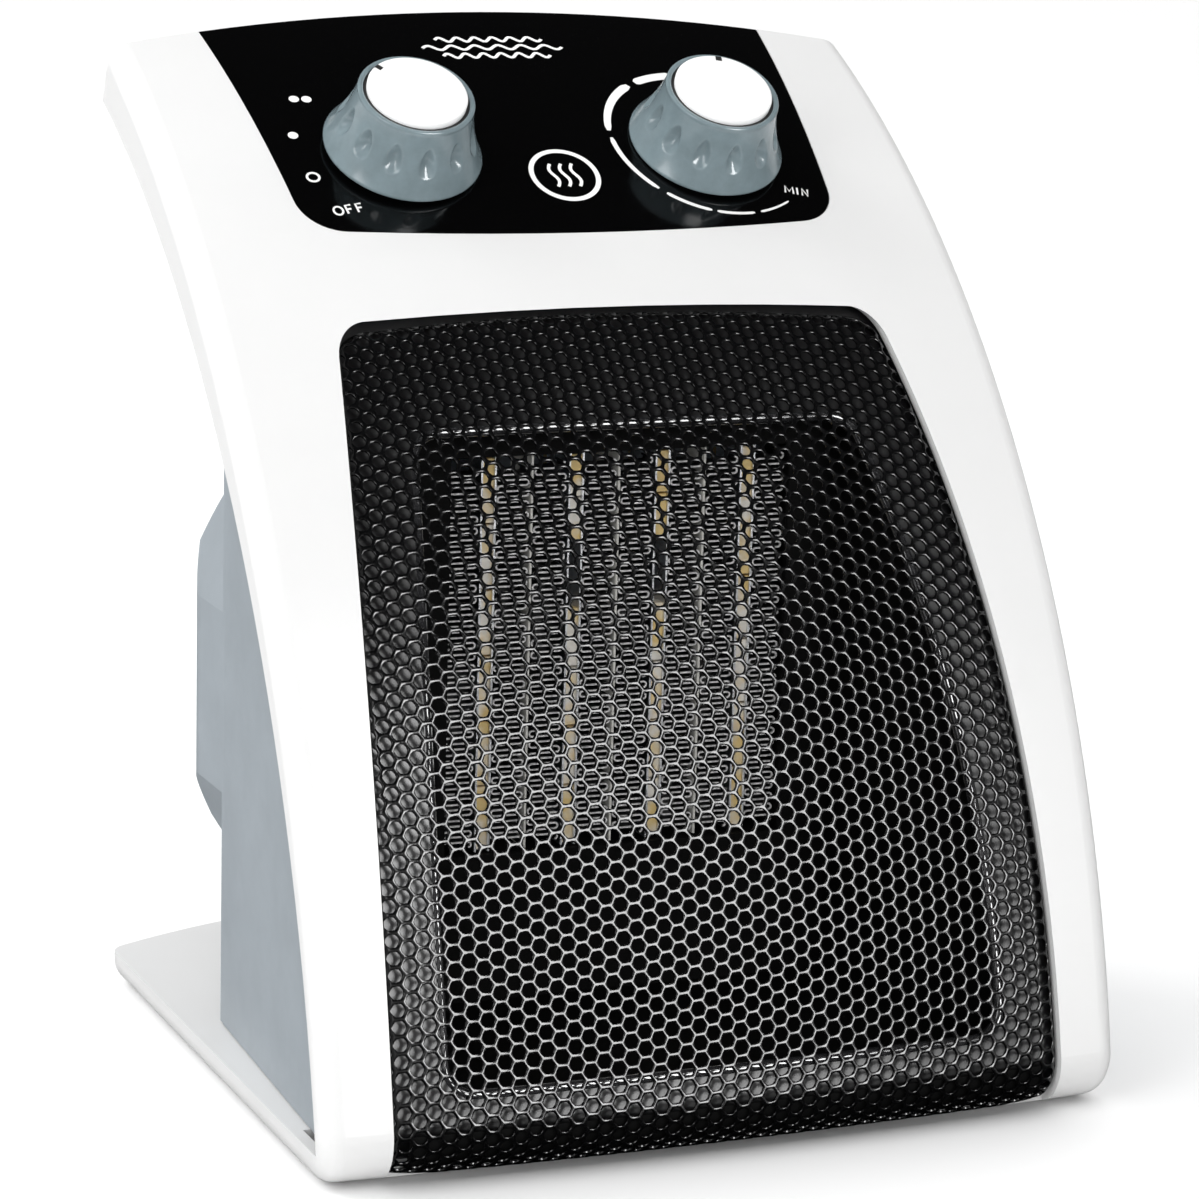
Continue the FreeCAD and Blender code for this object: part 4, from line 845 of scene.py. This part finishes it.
def knob_pointer(name, matrix, body, pointer):
    """The dark block that fills the disc's notch."""
    turn = math.radians(pointer)
    away, aside = Vector((math.cos(turn), math.sin(turn))), Vector((-math.sin(turn), math.cos(turn)))
    near, far = DISC_R - NOTCH_DEEP + POINTER_GAP, DISC_R - POINTER_GAP
    corners = []
    for height in (SEAT_HIGH, POINTER_HIGH):
        for along, across in ((near, -POINTER_HALF), (near, POINTER_HALF), (far, POINTER_HALF),
                              (far, -POINTER_HALF)):
            spot = away * along + aside * across
            corners.append(matrix @ Vector((spot.x, spot.y, height)))
    sides = [(3, 2, 1, 0), (4, 5, 6, 7)] + [(n, (n + 1) % 4, (n + 1) % 4 + 4, n + 4) for n in range(4)]
    add_piece(name, corners, sides, "black_plastic", body=body)


def groove_shade_ring(name, matrix, body):
    """The dark ring in the gap between the disc and the knob's rim: black plastic put at the bottom of the
    gap as painted shade.
    """
    points, faces = [], []
    inner = DISC_R + GROOVE_GAP
    for reach, height in ((inner, SEAT_HIGH), (inner, GROOVE_HIGH), (GROOVE_R, GROOVE_HIGH),
                          (GROOVE_R, SEAT_HIGH)):
        for step in range(GROOVE_STEPS):
            turn = 2 * math.pi * step / GROOVE_STEPS
            points.append(matrix @ Vector((reach * math.cos(turn), reach * math.sin(turn), height)))
    for row in range(4):
        here, there = row * GROOVE_STEPS, (row + 1) % 4 * GROOVE_STEPS
        for step in range(GROOVE_STEPS):
            after = (step + 1) % GROOVE_STEPS
            faces.append((here + step, here + after, there + after, there + step))
    add_piece(name, points, faces, "black_plastic", body=body)


knob("mode_knob_body", "mode_turn", "mode_control", "mode_knob")
knob("thermostat_knob_body", "thermostat_turn", "thermostat_control", "thermostat_knob")
for control, pointer in (("mode", 131.0), ("thermostat", 78.0)):
    place, body, disc = knob_matrix(control + "_turn"), control + "_control", control + "_knob_disc"
    knob_disc(disc, place, body, control + "_knob_cap", pointer)
    knob_pointer(disc + "_pointer", place, body, pointer)
    # a black ring in the gap round each disc, as painted shade
    groove_shade_ring(disc + "_groove_shade_ring", place, body)


# ---------------------------------------------------------------- stage, light and camera

def stage():
    """A pale floor that reaches a long way round the heater."""
    mesh = bpy.data.meshes.new("floor")
    reach = 40.0
    mesh.from_pydata([(-reach, -reach, 0), (reach, -reach, 0), (reach, reach, 0), (-reach, reach, 0)], [],
                     [(0, 1, 2, 3)])
    mesh.materials.append(floor_material())
    floor = bpy.data.objects.new("floor", mesh)
    bpy.context.scene.collection.objects.link(floor)
    floor.visible_glossy = False


def soft_light(name, place, aim, size, power, shiny=True, lights=True):
    """A rectangular lamp; one that is not shiny is not seen in reflections, and one that does not light
    is seen only in them."""
    data = bpy.data.lights.new(name, "AREA")
    data.shape = "RECTANGLE"
    data.size, data.size_y = size
    data.energy = power
    lamp = bpy.data.objects.new(name, data)
    bpy.context.scene.collection.objects.link(lamp)
    lamp.location = place
    lamp.rotation_euler = (Vector(aim) - Vector(place)).to_track_quat("-Z", "Y").to_euler()
    lamp.visible_glossy = shiny
    lamp.visible_diffuse = lights


def world():
    """A pale room: bright a little above the floor, dark overhead and below."""
    room = bpy.data.worlds.new("room")
    bpy.context.scene.world = room
    room.use_nodes = True
    tree = room.node_tree
    place = tree.nodes.new("ShaderNodeTexCoord")
    parts = tree.nodes.new("ShaderNodeSeparateXYZ")
    tree.links.new(place.outputs["Generated"], parts.inputs[0])

    def by_height(start, end, low, high):
        """A strength that runs from low to high as the direction rises from start to end."""
        node = tree.nodes.new("ShaderNodeMapRange")
        tree.links.new(parts.outputs["Z"], node.inputs["Value"])
        node.inputs["From Min"].default_value = start
        node.inputs["From Max"].default_value = end
        node.inputs["To Min"].default_value = low
        node.inputs["To Max"].default_value = high
        return node.outputs["Result"]

    both = tree.nodes.new("ShaderNodeMath")
    both.operation = "MULTIPLY"
    tree.links.new(by_height(0.1, 0.45, 0.6, 0.015), both.inputs[0])
    tree.links.new(by_height(-0.05, 0.0, 0.0, 1.0), both.inputs[1])
    background = tree.nodes["Background"]
    background.inputs["Color"].default_value = (1.0, 1.0, 1.0, 1.0)
    tree.links.new(both.outputs[0], background.inputs["Strength"])


def camera():
    """Looks down a little on the heater, from its front left."""
    data = bpy.data.cameras.new("camera")
    data.sensor_width = 36.0
    data.lens = 121.32
    data.clip_start, data.clip_end = 0.05, 100.0
    eye = bpy.data.objects.new("camera", data)
    bpy.context.scene.collection.objects.link(eye)
    azimuth, pitch, roll = (math.radians(angle) for angle in (-22.877, 12.072, -1.508))
    right = Vector((math.cos(azimuth), math.sin(azimuth), 0))
    back = Vector((math.sin(azimuth) * math.cos(pitch), -math.cos(azimuth) * math.cos(pitch),
                   math.sin(pitch)))
    up = back.cross(right)
    turned_right = right * math.cos(roll) - up * math.sin(roll)
    turned_up = right * math.sin(roll) + up * math.cos(roll)
    matrix = Matrix((turned_right, turned_up, back)).transposed().to_4x4()
    eye.matrix_world = Matrix.Translation((-0.33737, -0.80583, 0.28623)) @ matrix
    bpy.context.scene.camera = eye


stage()
world()
BODY_MIDDLE = (0, 0, 0.10)
soft_light("front_softbox", (0.72, -2.05, 0.86), BODY_MIDDLE, (0.80, 1.65), 53, lights=False)
soft_light("front_fill", (-0.6, -2.0, 0.60), BODY_MIDDLE, (0.80, 1.05), 13, shiny=False)
soft_light("left_softbox", (-1.3, -0.75, 0.6), BODY_MIDDLE, (0.7, 0.8), 6)
soft_light("rear_left_softbox", (-1.2, 0.7, 1.3), (-0.08, 0.05, 0.0), (0.8, 0.8), 10, shiny=False)
soft_light("ceiling", (-0.5, 3.0, 6.0), (-0.5, 3.0, 0.0), (20.0, 18.0), 1600, shiny=False)
camera()
bpy.context.scene.view_settings.view_transform = "Standard"
